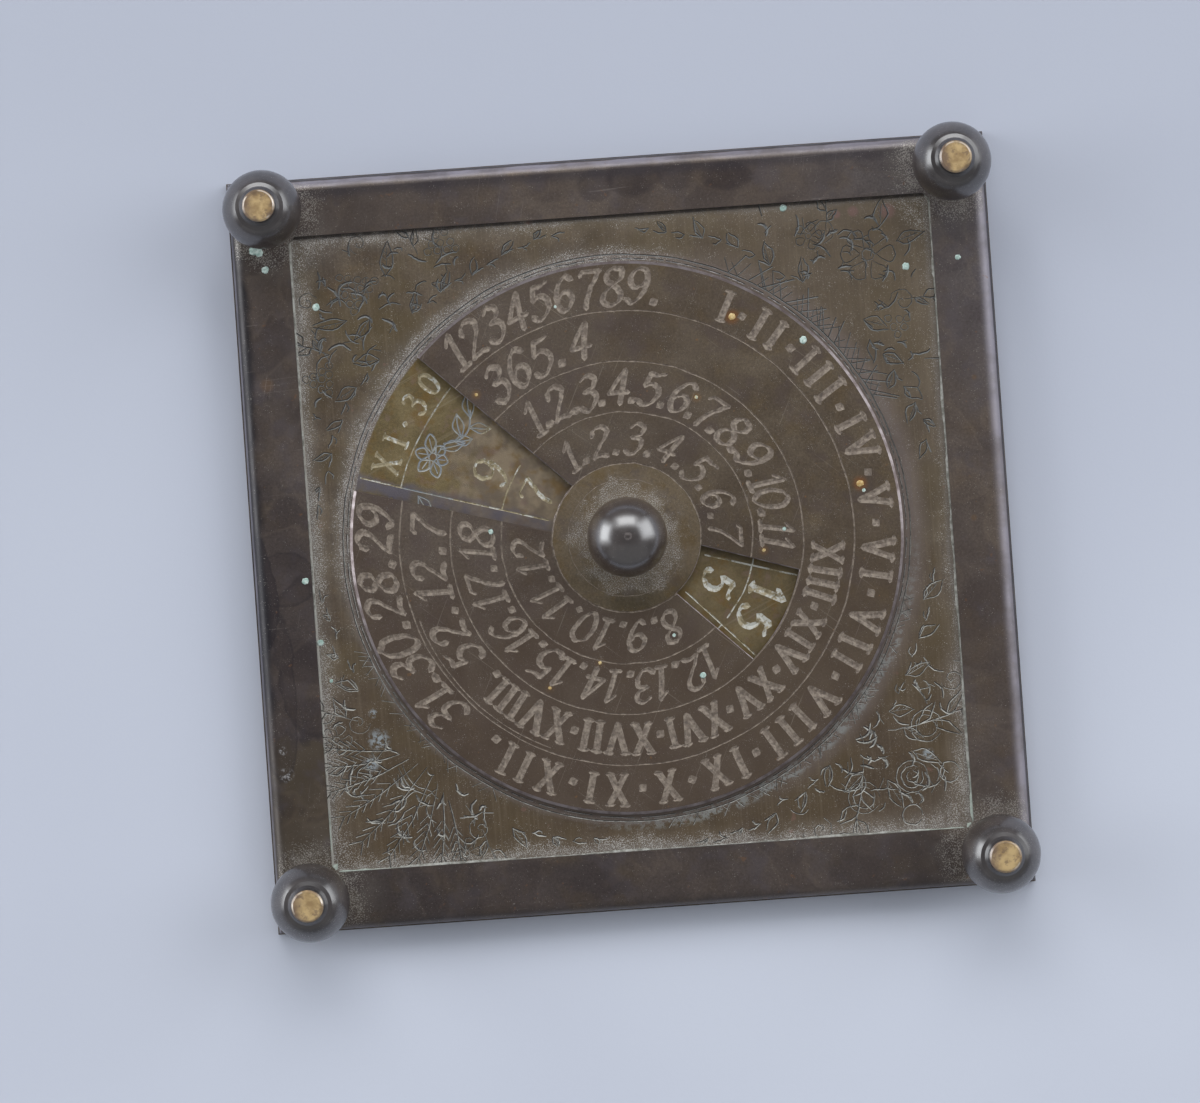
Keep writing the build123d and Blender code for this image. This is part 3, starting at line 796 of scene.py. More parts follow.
class Look:
    """A procedural material. Its methods add nodes and return what they put out. Sizes are in mm.

    The base colour is built up in self.color, and colours are given as 0-255 values.
    """

    def __init__(self, name, metallic=0.0, coat=0.0, coat_roughness=0.12, coat_ior=1.5):
        self.mat = bpy.data.materials.new(name)
        self.mat.use_nodes = True
        self.tree = self.mat.node_tree
        self.tree.nodes.clear()
        self.shader = self.add("ShaderNodeBsdfPrincipled")
        self.shader.inputs["Metallic"].default_value = metallic
        self.shader.inputs["Coat Weight"].default_value = coat
        self.shader.inputs["Coat Roughness"].default_value = coat_roughness
        self.shader.inputs["Coat IOR"].default_value = coat_ior
        out = self.add("ShaderNodeOutputMaterial")
        self.tree.links.new(self.shader.outputs[0], out.inputs[0])
        self.at = self.add("ShaderNodeTexCoord").outputs["Object"]
        self.color = None

    def add(self, kind, **settings):
        node = self.tree.nodes.new(kind)
        for key, value in settings.items():
            setattr(node, key, value)
        return node

    def feed(self, socket, value):
        if isinstance(value, Value):
            value = value.socket
        if isinstance(value, bpy.types.NodeSocket):
            self.tree.links.new(value, socket)
        else:
            socket.default_value = value

    def math(self, operation, a, b=0.0):
        node = self.add("ShaderNodeMath", operation=operation)
        self.feed(node.inputs[0], a)
        self.feed(node.inputs[1], b)
        return Value(self, node.outputs[0])

    def vector(self, operation, a, b=(0, 0, 0)):
        node = self.add("ShaderNodeVectorMath", operation=operation)
        self.feed(node.inputs[0], a)
        self.feed(node.inputs[1], b)
        return Value(self, node.outputs["Value" if operation in ("DISTANCE", "DOT_PRODUCT") else "Vector"])

    def mix(self, factor, a, b):
        node = self.add("ShaderNodeMix", data_type="RGBA")
        for index, v in ((0, factor), (6, a), (7, b)):
            self.feed(node.inputs[index], srgb(*v) if isinstance(v, tuple) else v)
        return Value(self, node.outputs[2])

    def tint(self, factor, color):
        """Lay a colour over the base colour."""
        self.color = self.mix(factor, self.color, color)

    def scale(self, color, factor):
        """A colour made lighter or darker by a factor."""
        node = self.add("ShaderNodeVectorMath", operation="SCALE")
        self.feed(node.inputs[0], color)
        self.feed(node.inputs["Scale"], factor)
        return Value(self, node.outputs[0])

    def noise(self, size, shift=0.0, detail=3.0, rough=0.6, stretch=(1, 1, 1), turn=0.0, distort=0.0):
        at = self.at
        if turn:
            node = self.add("ShaderNodeVectorRotate", rotation_type="Z_AXIS")
            self.feed(node.inputs["Vector"], at)
            node.inputs["Angle"].default_value = math.radians(turn)
            at = node.outputs[0]
        scaled = self.add("ShaderNodeVectorMath", operation="MULTIPLY_ADD")
        self.feed(scaled.inputs[0], at)
        scaled.inputs[1].default_value = [s / (size * MM) for s in stretch]
        scaled.inputs[2].default_value = (shift, shift * 0.7, shift * 0.3)
        return self.texture(scaled.outputs[0], detail, rough, distort)

    def texture(self, at, detail=2.0, rough=0.5, distort=0.0):
        node = self.add("ShaderNodeTexNoise")
        self.feed(node.inputs["Vector"], at)
        settings = {"Scale": 1.0, "Detail": detail, "Roughness": rough, "Distortion": distort}
        for name, value in settings.items():
            node.inputs[name].default_value = value
        return Value(self, node.outputs[0])

    def wander(self, size, shift, amount, **settings):
        """Noise between plus and minus half of an amount."""
        return (self.noise(size, shift, **settings) - 0.5) * amount

    def scratches(self, size, low, high, turn, shift):
        """Thin long lines, 0 to 1."""
        return self.noise(size, shift, 2.0, 0.6, (1, 0.018, 1), turn).step(low, high)

    def near(self, x, y):
        """Distance from an upright axis."""
        return self.vector("DISTANCE", self.vector("MULTIPLY", self.at, (1 / MM, 1 / MM, 0.0)), (x, y, 0.0))

    def from_ball_axis(self):
        """Distance from the upright axis of the nearest corner ball."""
        spot = self.vector("MULTIPLY", self.vector("ABSOLUTE", self.at), (1 / MM, 1 / MM, 0.0))
        return self.vector("DISTANCE", spot, (*BALL_AXIS, 0.0))

    def axes(self):
        """x, y and z."""
        node = self.add("ShaderNodeSeparateXYZ")
        self.feed(node.inputs[0], self.vector("MULTIPLY", self.at, (1 / MM,) * 3))
        return [Value(self, socket) for socket in node.outputs]

    def dabs(self, places, inner, outer, force, color, mask=None):
        """Round soft spots, given as (x, y, radius). inner and outer are shares of the radius."""
        for x, y, radius in places:
            spot = self.near(x, y).fall(radius * inner, radius * outer, force)
            self.tint(mask * spot if mask else spot, color)

    def finish(self, roughness, height, bump, strength):
        self.feed(self.shader.inputs["Base Color"], self.color)
        self.feed(self.shader.inputs["Roughness"], roughness)
        node = self.add("ShaderNodeBump")
        node.inputs["Distance"].default_value = bump * MM
        node.inputs["Strength"].default_value = strength
        self.feed(node.inputs["Height"], height)
        self.tree.links.new(node.outputs[0], self.shader.inputs["Normal"])
        return self.mat


def patina(look, dark, light, warm, size, shift, strength=0.2):
    """Mottled colour of an old metal surface, with its fine grain."""
    color = look.mix(look.noise(size, shift, 4.0, 0.55, distort=0.6).step(0.36, 0.66), dark, light)
    color = look.mix(look.noise(size * 0.45, shift + 9, rough=0.5).step(0.5, 0.75, 0.0, 0.5), color, warm)
    grain = look.noise(0.4, shift + 3, 4.0, 0.75)
    return look.scale(color, grain.step(0.3, 0.7, 1 - strength, 1 + strength)), grain


def dust(look, amount, shift=0.0, size=0.15):
    """Speckle mask: the nearer amount is to 1, the more specks."""
    level = look.noise(size, shift + 31, 1.0) + look.wander(2.0, shift + 17, 0.3) + (amount - 1.0) * 0.3
    return level.step(0.5, 0.62)


def ragged_patch(look, x, y, half_x, half_y, blur, shift):
    """A patch with a wandering outline, such as spilt polish leaves: its area, and the line round it."""
    flat = look.vector("MULTIPLY", look.at, (1 / MM / half_x, 1 / MM / half_y, 0.0))
    field = look.vector("DISTANCE", flat, (x / half_x, y / half_y, 0.0))
    field = field + (look.noise(7.0, shift, rough=0.55) - 0.5)
    return field.fall(1.0 - blur, 1.0 + blur), field.band(0.88, 0.98, 1.0, 1.06)


# x, y, half width, half height, how dark the patch is, and how soft its outline
FRAME_PATCHES = (
    (-52.4, -15.5, 4.4, 12.5, 0.34, 0.05),
    (-57.0, -22.0, 2.6, 15.0, 0.34, 0.05),
    (-58.6, -6.0, 2.6, 9.0, 0.75, 0.04),
    (-55.0, -3.5, 5.0, 4.0, 0.3, 0.04),
    (-46.0, 53.5, 9.0, 4.5, 0.12, 0.2),
    (-23.0, 57.5, 7.0, 3.0, 0.2, 0.2),
    (-1.9, 54.6, 2.9, 2.6, 0.4, 0.16),
    (4.3, 55.6, 3.9, 3.2, 0.55, 0.18),
    (10.8, 55.9, 2.8, 2.7, 0.4, 0.2),
    (18.9, 54.7, 3.7, 2.3, 0.55, 0.22),
    (40.0, -54.5, 12.0, 4.0, 0.3, 0.2),
    (-20.0, -55.0, 14.0, 4.0, 0.3, 0.2),
)
# Small stains and flecks: x, y and radius
FRAME_STAINS = ((-55.4, 27.0, 1.5), (53.9, -1.5, 0.7), (55.5, 20.5, 0.6))
POLISH_FLECKS = ((-56.9, -30.4, 0.8), (-56.6, -34.2, 1.45))
DIAL_FLECKS = ((-41.8, -29.8, 2.2), (-43.2, -33.4, 1.6), (-42.4, -25.6, 0.9), (44.2, -38.0, 1.2))
DIAL_STAINS = ((43.8, 47.6, 1.6), (38.4, 47.9, 1.1), (35.8, 47.6, 0.8))
GOLD_SPECKS = ((18.2, 32.6, 0.6), (36.4, 5.1, 0.6))
DISC_STAINS = tuple(
    (x, y, 0.28) for x, y in ((-22.7, 23.2), (11.7, 20.4), (-6.3, -20.1), (-14.4, -23.5), (20.6, -4.3))
)


def frame_look():
    look = Look("frame_patina", 0.3, 0.06)
    x, y, z = look.axes()
    left, grain = patina(look, (70, 61, 58), (86, 75, 69), (86, 72, 55), 12.0, 2.0)
    right, _ = patina(look, (82, 71, 65), (96, 84, 75), (95, 79, 62), 14.0, 12.0)
    lilac, _ = patina(look, (84, 76, 76), (98, 90, 88), (92, 80, 70), 10.0, 22.0)
    # the colour drifts from a darker purple-brown at the left to a lighter warm brown at the right: patina,
    # and partly painted shade on the left side
    drift = x + y + look.wander(25.0, 43, 60.0, detail=2.0, rough=0.5)
    look.color = look.mix(drift.step(-55.0, 55.0), left, right)
    look.tint(drift.step(65.0, 100.0), lilac)
    low_left = (y + look.noise(5.0, 45) * 6.0).fall(-27.0, -26.0, 0.75) * x.fall(-50.0, -48.0)
    look.tint(low_left, (78, 67, 53))
    # water marks, with a pale line where each dried
    mark = look.noise(13.0, 40.0, rough=0.5, distort=0.5)
    look.tint(mark.step(0.54, 0.58) * x.step(-52.0, -46.0, 0.3, 0.16), (52, 43, 44))
    look.tint(mark.band(0.52, 0.54, 0.54, 0.58) * 0.14, (112, 98, 84))
    look.tint(look.noise(5.0, 141).step(0.5, 0.7, 0.0, 0.35), (86, 79, 84))
    for k, (*place_and_size, force, blur) in enumerate(FRAME_PATCHES):
        area, line = ragged_patch(look, *place_and_size, blur, 201.0 + 7 * k)
        look.tint(area * force, (50, 42, 44))
        look.tint(line * (0.3 if blur < 0.1 else 0.06), (40, 35, 38))
    look.dabs(FRAME_STAINS, 0.3, 1.0, 0.42, (112, 84, 56))
    # painted shade: blue-black along the left edge; painted lilac sheen on the rounded edges right, top and
    # left
    left_gap, right_gap, top_gap = x + FRAME_HALF[0], FRAME_HALF[0] - x, FRAME_HALF[1] - y
    painted_left_edge_shade = (left_gap + look.wander(9.0, 151, 3.0, rough=0.55)).fall(1.2, 2.6, 0.85)
    look.tint(painted_left_edge_shade * y.step(-32.0, -18.0, 0.35, 1.0), (30, 28, 34))
    # painted shade: a dark band just inside the top edge
    look.tint(top_gap.band(1.6, 2.2, 2.4, 4.0, 0.6), (56, 51, 56))
    # painted shade: a dark line along the outermost top and right edges
    look.tint(right_gap.least(top_gap).fall(0.3, 0.5, 0.8), (42, 38, 43))
    # painted highlight on the rounded edges, broken up in patches
    patchy_painted_sheen = look.noise(9.0, 161, 4.0, 0.62).step(0.34, 0.6, 0.45, 1.0)
    top_gap = top_gap + look.wander(3.0, 163, 0.35)
    over_top = top_gap.band(0.36, 0.56, 0.7, 1.8, 0.95) * x.step(-15.0, 30.0, 1.0, 0.75)
    over_right, over_left = right_gap.band(0.3, 0.5, 0.8, 2.6, 0.8), left_gap.band(0.1, 0.2, 0.3, 0.5, 0.6)
    look.tint(over_right.most(over_top).most(over_left) * patchy_painted_sheen, (146, 141, 151))
    lines = look.scratches(0.28, 0.68, 0.74, 12, 5.0).most(look.scratches(0.3, 0.69, 0.75, 87, 8.0))
    lines = lines * look.noise(20.0, 3, 2.0, 0.5).step(0.42, 0.58)
    look.tint(lines * 0.2, (150, 140, 132))
    # grime and dust round the balls, on the face only
    near_ball = look.from_ball_axis().fall(6.5, 13.0) * z.step(FRAME_TOP - 1.0, FRAME_TOP - 0.3)
    look.tint(near_ball * look.noise(4.0, 143).step(0.35, 0.65, 0.0, 0.4), (112, 105, 98))
    look.tint(look.noise(1.3, 107, 2.0, 0.5).step(0.71, 0.77, 0.0, 0.4), (118, 84, 58))
    look.tint(dust(look, near_ball.most(0.36), 5.0, 0.18) * 0.6, (168, 162, 154))
    crumbs = look.noise(0.7, 157, 4.0, 0.75).step(0.46, 0.58)
    for at_x, at_y, radius in POLISH_FLECKS:
        look.tint(crumbs * look.near(at_x, at_y).fall(0.2, radius), (178, 176, 176))
    rough = look.noise(6.0, 12).step(0.3, 0.7, 0.3, 0.44) + right_gap.fall(1.0, 3.0, 0.1)
    return look.finish(rough, grain * 0.45 + lines * -0.25 + look.noise(7.0, 21, 2.0, 0.5), 0.07, 0.5)


def under_disc(look, x, radius):
    """Colour under the disc, where the metal kept more yellow: olive at the rim, tan towards the pivot."""
    look.color, _ = patina(look, (100, 86, 56), (119, 104, 72), (110, 86, 40), 6.0, 15.0, 0.18)
    tan = (radius + look.wander(8.0, 23, 50.0, rough=0.55, distort=0.8)).fall(24.0, 36.0, 0.85)
    tan_tone = look.mix(look.noise(3.5, 185).step(0.38, 0.62), (112, 99, 86), (143, 127, 106))
    look.tint(tan * x.step(-9.0, 3.0, 1.0, 0.2), tan_tone)
    look.tint(look.noise(3.0, 191).step(0.5, 0.68, 0.0, 0.6), (112, 85, 38))
    look.tint(look.noise(2.2, 193).step(0.55, 0.7, 0.0, 0.45), (122, 100, 90))
    look.tint(look.scratches(0.6, 0.62, 0.8, 64, 3.0) * 0.4, (150, 138, 116))
    # a smear that the large window's lower edge left, along a line from hub to rim
    start, end = polar(LARGE_WINDOW.inner, 170.0), polar(DISC_RADIUS - 0.25, 164.6)
    along = (end - start) / np.linalg.norm(end - start)
    across = np.array([-along[1], along[0]])
    place = look.vector("DOT_PRODUCT", look.at, (across[0] / MM, across[1] / MM, 0.0))
    smear = (abs(place - float(across @ start)) + look.wander(4.0, 87, 3.5)).fall(0.8, 2.2)
    smear = smear * x.fall(-14.0, -10.0) * look.noise(5.0, 89).step(0.38, 0.62, 0.4, 0.9)
    look.tint(smear, (94, 89, 98))
    return look.color


def dial_look():
    look = Look("dial_patina", 0.35)
    x, y, _ = look.axes()
    radius = look.near(*PIVOT)
    kept = under_disc(look, x, radius)
    look.color, grain = patina(look, (85, 72, 60), (102, 89, 74), (102, 83, 57), 9.0, 6.0)
    look.tint(look.noise(13.0, 171, rough=0.55).step(0.42, 0.62, 0.0, 0.65), (94, 80, 54))
    look.tint(look.noise(6.0, 173).step(0.5, 0.7, 0.0, 0.5), (74, 62, 50))
    look.tint((y + look.noise(20.0, 175, 2.0, 0.5) * 30.0).fall(-25.0, 20.0, 0.5), (87, 71, 54))
    look.tint((x + y).step(15.0, 80.0, 0.0, 0.6), (104, 91, 75))
    # a pinkish smooth band round the disc, broad at the right
    broad = radius.fall(OUTER_RING + 0.2, OUTER_RING + 4.0, 0.8) * x.step(5.0, 35.0)
    look.tint(radius.fall(OUTER_RING, OUTER_RING + 1.0, 0.7).most(broad), (119, 106, 100))
    # grey powder along the lips of the frame, in the corners, and round the disc at the upper left
    edge_x, edge_y = OPENING[0] - abs(x), OPENING[1] - abs(y)
    edge = edge_x.least(edge_y)
    patchy = look.noise(9.0, 51) * 5.0 - 2.5
    amount = (edge + patchy).fall(0.8, 4.4) * (x + y).step(5.0, 60.0, 1.0, 0.6)
    corner = (edge_x + edge_y + patchy).fall(5.0, 15.0)
    round_disc = (radius + patchy).fall(OUTER_RING - 0.2, OUTER_RING + 4.0) * (y - x).step(5.0, 50.0)
    plain = (x + y).step(10.0, 60.0, 1.0, 0.3) * (x + y).step(-80.0, -40.0, 0.45, 1.0)
    plain = plain * y.step(-46.0, -38.0, 0.4, 1.0).most(x.step(5.0, 35.0))
    look.tint(amount.most(corner).most(round_disc) * plain * 0.36, (130, 122, 114))
    look.tint((edge + patchy * 0.35).fall(0.5, 1.5) * 0.32, (140, 134, 129))
    specks = dust(look, amount.most(round_disc).most((corner * 0.9).most(0.42)), 2.0)
    look.tint(specks * 0.8, (184, 180, 174))
    # a shadowed line under the top lip, and pale lines at the foot of the left and right lips
    broken = look.noise(2.5, 53).step(0.3, 0.45, 0.4, 1.0)
    for gap, width, force, color in (
        (OPENING[1] - y, 0.55, 0.75, (50, 44, 43)),
        (x + OPENING[0], 0.42, 0.95, (186, 182, 174)),
        (OPENING[0] - x, 0.3, 0.7, (136, 142, 134)),
    ):
        look.tint(gap.fall(width * 0.6, width, force) * broken, color)
    # grey-blue crust in the ring, most at the lower right
    crust = abs(radius - (OUTER_RING + 0.4)).fall(0.4, 1.5) * look.noise(1.2, 61, 4.0, 0.75).step(0.47, 0.56)
    look.tint(crust * (x + y * -1.3).step(45.0, 72.0, 0.06, 1.0) * 0.75, (146, 148, 145))
    brushed = look.noise(0.45, 33.0, 2.0, 0.6, (1, 0.03, 1))
    look.tint(brushed.step(0.45, 0.75, 0.0, 0.3), (122, 108, 90))
    crumbs = look.noise(0.7, 159, rough=0.7).step(0.42, 0.56)
    look.dabs(DIAL_FLECKS, 0.3, 1.0, 0.85, (158, 166, 170), crumbs)
    look.dabs(DIAL_STAINS, 0.4, 1.0, 0.5, (132, 98, 96))
    look.tint(look.noise(3.0, 97, 2.0, 0.5).step(0.72, 0.76) * 0.4, (130, 96, 86))
    look.tint(radius.fall(DISC_RADIUS - 0.3, DISC_RADIUS), kept)
    rough = look.noise(5.0, 71).step(0.3, 0.7, 0.34, 0.48) + amount * 0.2
    return look.finish(rough, grain * 0.5 + brushed * 0.25 + specks * 0.6, 0.06, 0.5)


def disc_look():
    look = Look("disc_patina", 0.35)
    x, y, _ = look.axes()
    radius = look.near(*PIVOT)
    # the hub is yellower above and darker below: patina, and partly the knob's painted shadow below it
    purple, grain = patina(look, (84, 71, 62), (98, 86, 76), (95, 79, 61), 11.0, 24.0)
    tone = (y + look.noise(6.0, 181) * 16.0).step(-5.0, 4.0)
    look.color = look.scale(look.mix(tone, (84, 73, 53), (115, 100, 79)), grain.step(0.3, 0.7, 0.8, 1.2))
    look.tint(look.noise(4.0, 187).step(0.48, 0.66, 0.0, 0.55), (106, 84, 42))
    look.tint(look.noise(5.0, 189).step(0.52, 0.68, 0.0, 0.5), (90, 79, 73))
    hub_color = look.color
    olive, _ = patina(look, (88, 75, 61), (101, 88, 72), (100, 83, 58), 9.0, 27.0)
    drift = x + y * 0.2 + look.noise(18.0, 44, 2.0, 0.5) * 50.0
    look.color = look.mix(drift.step(5.0, 60.0), purple, olive)
    look.tint(look.noise(6.0, 183).step(0.48, 0.68, 0.0, 0.5), (85, 72, 68))
    look.tint(radius.fall(HUB_RING - 0.3, HUB_RING + 0.2, 0.85), hub_color)
    for at_x, at_y, _ in GOLD_SPECKS:
        look.tint(look.near(at_x, at_y).fall(0.3, 1.6, 0.85), (126, 82, 44))
    for at_x, at_y, _ in DISC_STAINS:
        look.tint(look.near(at_x, at_y).fall(0.2, 1.1, 0.6), (124, 93, 58))
    low = (y + look.noise(15.0, 103, 2.0, 0.5) * 24.0).fall(-10.0, 16.0, 0.6)
    look.tint(low * radius.step(HUB_RING - 0.3, HUB_RING + 0.2), (86, 71, 58))
    look.tint(look.noise(1.3, 101, 2.0, 0.5).step(0.72, 0.78, 0.0, 0.55), (128, 93, 60))
    # dust where fingers don't reach, round the knob
    ring = (radius + look.wander(4.5, 5, 9.0, detail=4.0, rough=0.65)).fall(7.6, 10.6)
    look.tint(ring * 0.3, (124, 116, 108))
    specks = dust(look, ring.most(0.4), 8.0)
    look.tint(specks * 0.68, (180, 175, 168))
    lines = look.scratches(0.3, 0.68, 0.74, 25, 4.0).most(look.scratches(0.3, 0.69, 0.75, -50, 14.0))
    look.tint(lines * 0.24, (160, 149, 136))
    rough = look.noise(5.0, 72).step(0.3, 0.7, 0.33, 0.46)
    return look.finish(rough, grain * 0.45 + specks * 0.6 + look.noise(8.0, 81, 2.0, 0.5) * 1.2, 0.08, 0.5)


def edge_look():
    """Filed edges of the disc, rubbed a little brighter."""
    look = Look("disc_edge_metal", 0.7)
    worn = look.noise(2.4, 91).step(0.35, 0.65)
    look.color = look.mix(worn, (112, 100, 98), (152, 142, 142))
    return look.finish(worn.step(0.0, 1.0, 0.4, 0.3), worn, 0.03, 0.4)


def crumbly_look(name, low, high, metallic, size, shift):
    """Wax, tarnish or corrosion: the look, and its clumps."""
    look = Look(name, metallic)
    clump = look.noise(size, shift, 4.0, 0.65)
    look.color = look.mix(clump.step(0.35, 0.65), low, high)
    return look, clump


def disc_residue():
    """Old wax and tarnish left in the grooves."""
    look, clump = crumbly_look("disc_residue", (108, 95, 84), (144, 131, 117), 0.1, 0.9, 3.0)
    look.tint(look.noise(0.5, 66, 2.0, 0.5).step(0.5, 0.66) * 0.6, (80, 69, 61))
    return look.finish(0.62, clump, 0.08, 0.7)


def dial_residue():
    """The same on the dial plate: cream with a blue ring under the disc, grey outside it."""
    look, clump = crumbly_look("dial_residue", (114, 102, 74), (160, 148, 120), 0.1, 1.2, 13.0)
    x, y, _ = look.axes()
    radius = look.near(*PIVOT)
    white = (look.noise(1.4, 113, 4.0, 0.7) + x.step(-6.0, 6.0, 0.0, 0.07)).step(0.51, 0.62)
    look.tint(white * 0.8, (200, 200, 193))
    blue = radius.band(27.6, 28.6, 35.6, 36.6) * look.noise(2.0, 115).step(0.42, 0.58, 0.55, 0.95)
    look.tint(blue, (128, 133, 137))
    cream = look.color
    # outside the disc one flank of each groove keeps the grey wax colour and the other, facing down, is
    # painted dark: painted shade, so each groove reads as a lit and a shaded flank
    normal = look.add("ShaderNodeTexCoord").outputs["Normal"]
    up = look.vector("DOT_PRODUCT", normal, (-0.5, 0.85, 0.0))
    faint = y.step(-20.0, 25.0, 0.0, 0.75)
    look.color = look.mix(look.noise(0.9, 29, rough=0.7).step(0.38, 0.62), (112, 110, 104), (170, 168, 160))
    look.tint(look.noise(5.0, 119).step(0.52, 0.68, 0.0, 0.6), (184, 182, 175))
    look.tint(faint, (82, 86, 88))
    at_ring = radius.fall(OUTER_RING - 0.3, OUTER_RING - 0.2) * look.noise(1.0, 121).step(0.46, 0.56)
    look.tint(at_ring * 0.8, (178, 172, 168))
    shaded_flank_color = look.mix(faint, (52, 46, 44), (62, 55, 50))
    wax_with_shaded_flank = look.mix(up.step(-0.18, 0.12), shaded_flank_color, look.color)
    look.color = look.mix(radius.step(DISC_RADIUS - 0.25, DISC_RADIUS - 0.05), cream, wax_with_shaded_flank)
    return look.finish(0.62, clump, 0.08, 0.7)


def ball_look():
    """Corner balls: dark and glossy, with a worn end on the boss."""
    look = Look("ball_patina", 0.2, 0.85, 0.2, 1.9)
    x, y, z = look.axes()
    from_axis = look.from_ball_axis()
    # the worn end: ochre brass with a brown ragged margin, and in places a painted highlight on its polished
    # edge
    look.color = look.mix(look.noise(1.8, 69, rough=0.5).step(0.35, 0.65), (158, 128, 84), (204, 174, 122))
    look.tint((from_axis + look.wander(1.5, 59, 2.4)).step(1.6, 2.5, 0.0, 0.75), (100, 76, 56))
    look.tint(look.noise(1.1, 63).step(0.54, 0.66, 0.0, 0.6), (112, 88, 70))
    # painted shade: each worn end is darker on its left side
    off_centre = x - look.math("SIGN", x) * BALL_AXIS[0]
    look.tint((off_centre + look.noise(1.4, 65) * 2.0).fall(-0.8, 0.6, 0.6), (116, 92, 76))
    rim_highlight = abs(from_axis - 2.28).fall(0.06, 0.16) * look.noise(2.4, 79, 2.0, 0.5).step(0.52, 0.62)
    look.tint(rim_highlight, (206, 190, 170))
    brass = look.color
    # the ball itself, with faint rings from the lathe
    look.color = look.mix(look.noise(5.0, 19).step(0.35, 0.65), (46, 39, 38), (64, 56, 54))
    across = look.add("ShaderNodeCombineXYZ")
    look.feed(across.inputs[0], from_axis * 5.0)
    look.feed(across.inputs[1], z * 5.0)
    rings = look.texture(across.outputs[0])
    look.color = look.scale(look.color, rings.step(0.3, 0.7, 0.85, 1.15))
    # grime and painted shade in the hollow round the boss
    grime_and_shade = from_axis.fall(2.6, 4.0) * z.step(BALL_TOP - 2.0, BALL_TOP - 1.0)
    look.tint(grime_and_shade * 0.5, (34, 30, 30))
    specks = dust(look, from_axis.step(2.9, 4.4) * y.step(-60.0, 60.0, 0.6, 0.5), 77.0)
    look.tint(specks * 0.45, (150, 146, 142))
    on_top = z.step(BALL_TOP - 0.3, BALL_TOP - 0.2)
    look.tint(on_top, brass)
    rough = from_axis.step(3.9, 5.4, 0.3, 0.5) + look.noise(2.0, 39).step(0.3, 0.7, 0.0, 0.08)
    rough = rough + (1.0 - rim_highlight) * (on_top * 0.12)
    return look.finish(rough, rings * 0.5 + look.noise(1.2, 49), 0.02, 0.4)


def knob_look():
    """The knob is handled, so it is the glossiest piece. A small lathe mark stays on its top."""
    look = Look("knob_patina", 0.2, 1.0, 0.22, 2.1)
    look.color = look.mix(look.noise(4.0, 19).step(0.35, 0.65), (47, 36, 32), (60, 49, 44))
    radius = look.near(*PIVOT)
    wobble = look.wander(0.8, 89, 0.7, detail=2.0, rough=0.5)
    mark = abs(radius + wobble - 0.45).fall(0.1, 0.28)
    mark = mark * look.noise(0.7, 91, 2.0, 0.5).step(0.35, 0.6, 0.2, 1.0)
    look.tint(mark * 0.7, (116, 106, 102))
    look.tint(dust(look, radius.step(3.0, 6.5, 0.3, 0.7), 47.0) * 0.5, (150, 145, 140))
    rough = look.noise(1.5, 39).step(0.3, 0.7, 0.3, 0.4)
    return look.finish(rough, look.noise(1.6, 49, 4.0) - mark * 1.6, 0.025, 0.5)


def plain_look(name, dark, light, metallic, rough, shift):
    look = Look(name, metallic)
    tone = look.noise(3.0, shift, 4.0)
    look.color = look.mix(tone.step(0.35, 0.65), dark, light)
    lines = look.scratches(0.25, 0.6, 0.75, 30, shift)
    look.tint(lines * 0.3, light)
    return look.finish(tone.step(0.3, 0.7, rough - 0.06, rough + 0.08), lines, 0.04, 0.4)


bare_brass = plain_look("bare_brass", (160, 128, 74), (196, 166, 108), 0.95, 0.32, 27.0)
disc_metal, dial_metal = disc_look(), dial_look()
NODE_LOOKS = {  # part of the node's name: its material
    "back_plate": plain_look("back_patina", (74, 63, 58), (104, 90, 78), 0.5, 0.42, 7.0),
    "frame_rail": frame_look(),
    "centre_knob": knob_look(),
    "corner_ball": ball_look(),
    "corner_screws": plain_look("screw_brass", (112, 92, 62), (152, 128, 88), 0.8, 0.38, 17.0),
    "washer": bare_brass,
    "pivot_nut": bare_brass,
    "calendar_disc": disc_metal,
    "dial_plate": dial_metal,
}
for node_name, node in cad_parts.items():
    material = next(NODE_LOOKS[part] for part in NODE_LOOKS if part in node_name)
    if not node.material_slots:
        node.data.materials.append(material)
    for slot in node.material_slots:
        slot.material = material

# ---------------------------------------------------------------- the engraved plates

disc = engraved_plate(
    "engraved_disc",
    [disc_outline, small_outline, square_hole],
    disc_cuts,
    disc_guides,
    disc_surface,
    DISC_BOTTOM,
    [disc_metal, disc_residue(), edge_look()],
    "disc",
    disc_zone,
)
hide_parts("calendar_disc")


def dial_surface(points):
    return np.full(len(points), DIAL_TOP)


dial = engraved_plate(
    "engraved_dial",
    [dial_outline, dial_bore],
    dial_cuts,
    [],
    dial_surface,
    DIAL_BOTTOM,
    [dial_metal, dial_residue()],
    "base",
)
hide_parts("dial_plate")


# ---------------------------------------------------------------- deposits


def add_ribbon(verts, faces, run, inward):
    """A closed strip of triangular section along the points of run."""
    first = len(verts)
    for k, (here, broad) in enumerate(run):
        if k in (0, len(run) - 1):
            broad *= 0.3
        foot = here + inward * 0.01
        tip = here + inward * (0.01 + broad)
        verts += [(*foot, DIAL_TOP), (*foot, DIAL_TOP + 0.02 + broad * 0.45), (*tip, DIAL_TOP + 0.004)]
    for k in range(len(run) - 1):
        n, m = first + 3 * k, first + 3 * k + 3
        faces += [(n, n + 1, m + 1, m), (n + 1, n + 2, m + 2, m + 1), (n + 2, n, m, m + 2)]
    last = first + 3 * (len(run) - 1)
    faces += [(first, first + 2, first + 1), (last, last + 1, last + 2)]


def lip_deposit_look():
    look, clump = crumbly_look("lip_deposit", (112, 110, 102), (170, 169, 162), 0.0, 1.2, 37.0)
    x, y, _ = look.axes()
    look.tint((abs(x) - y).step(88.0, 98.0) * 0.6, (168, 182, 170))
    return look.finish(0.75, clump, 0.1, 0.8)


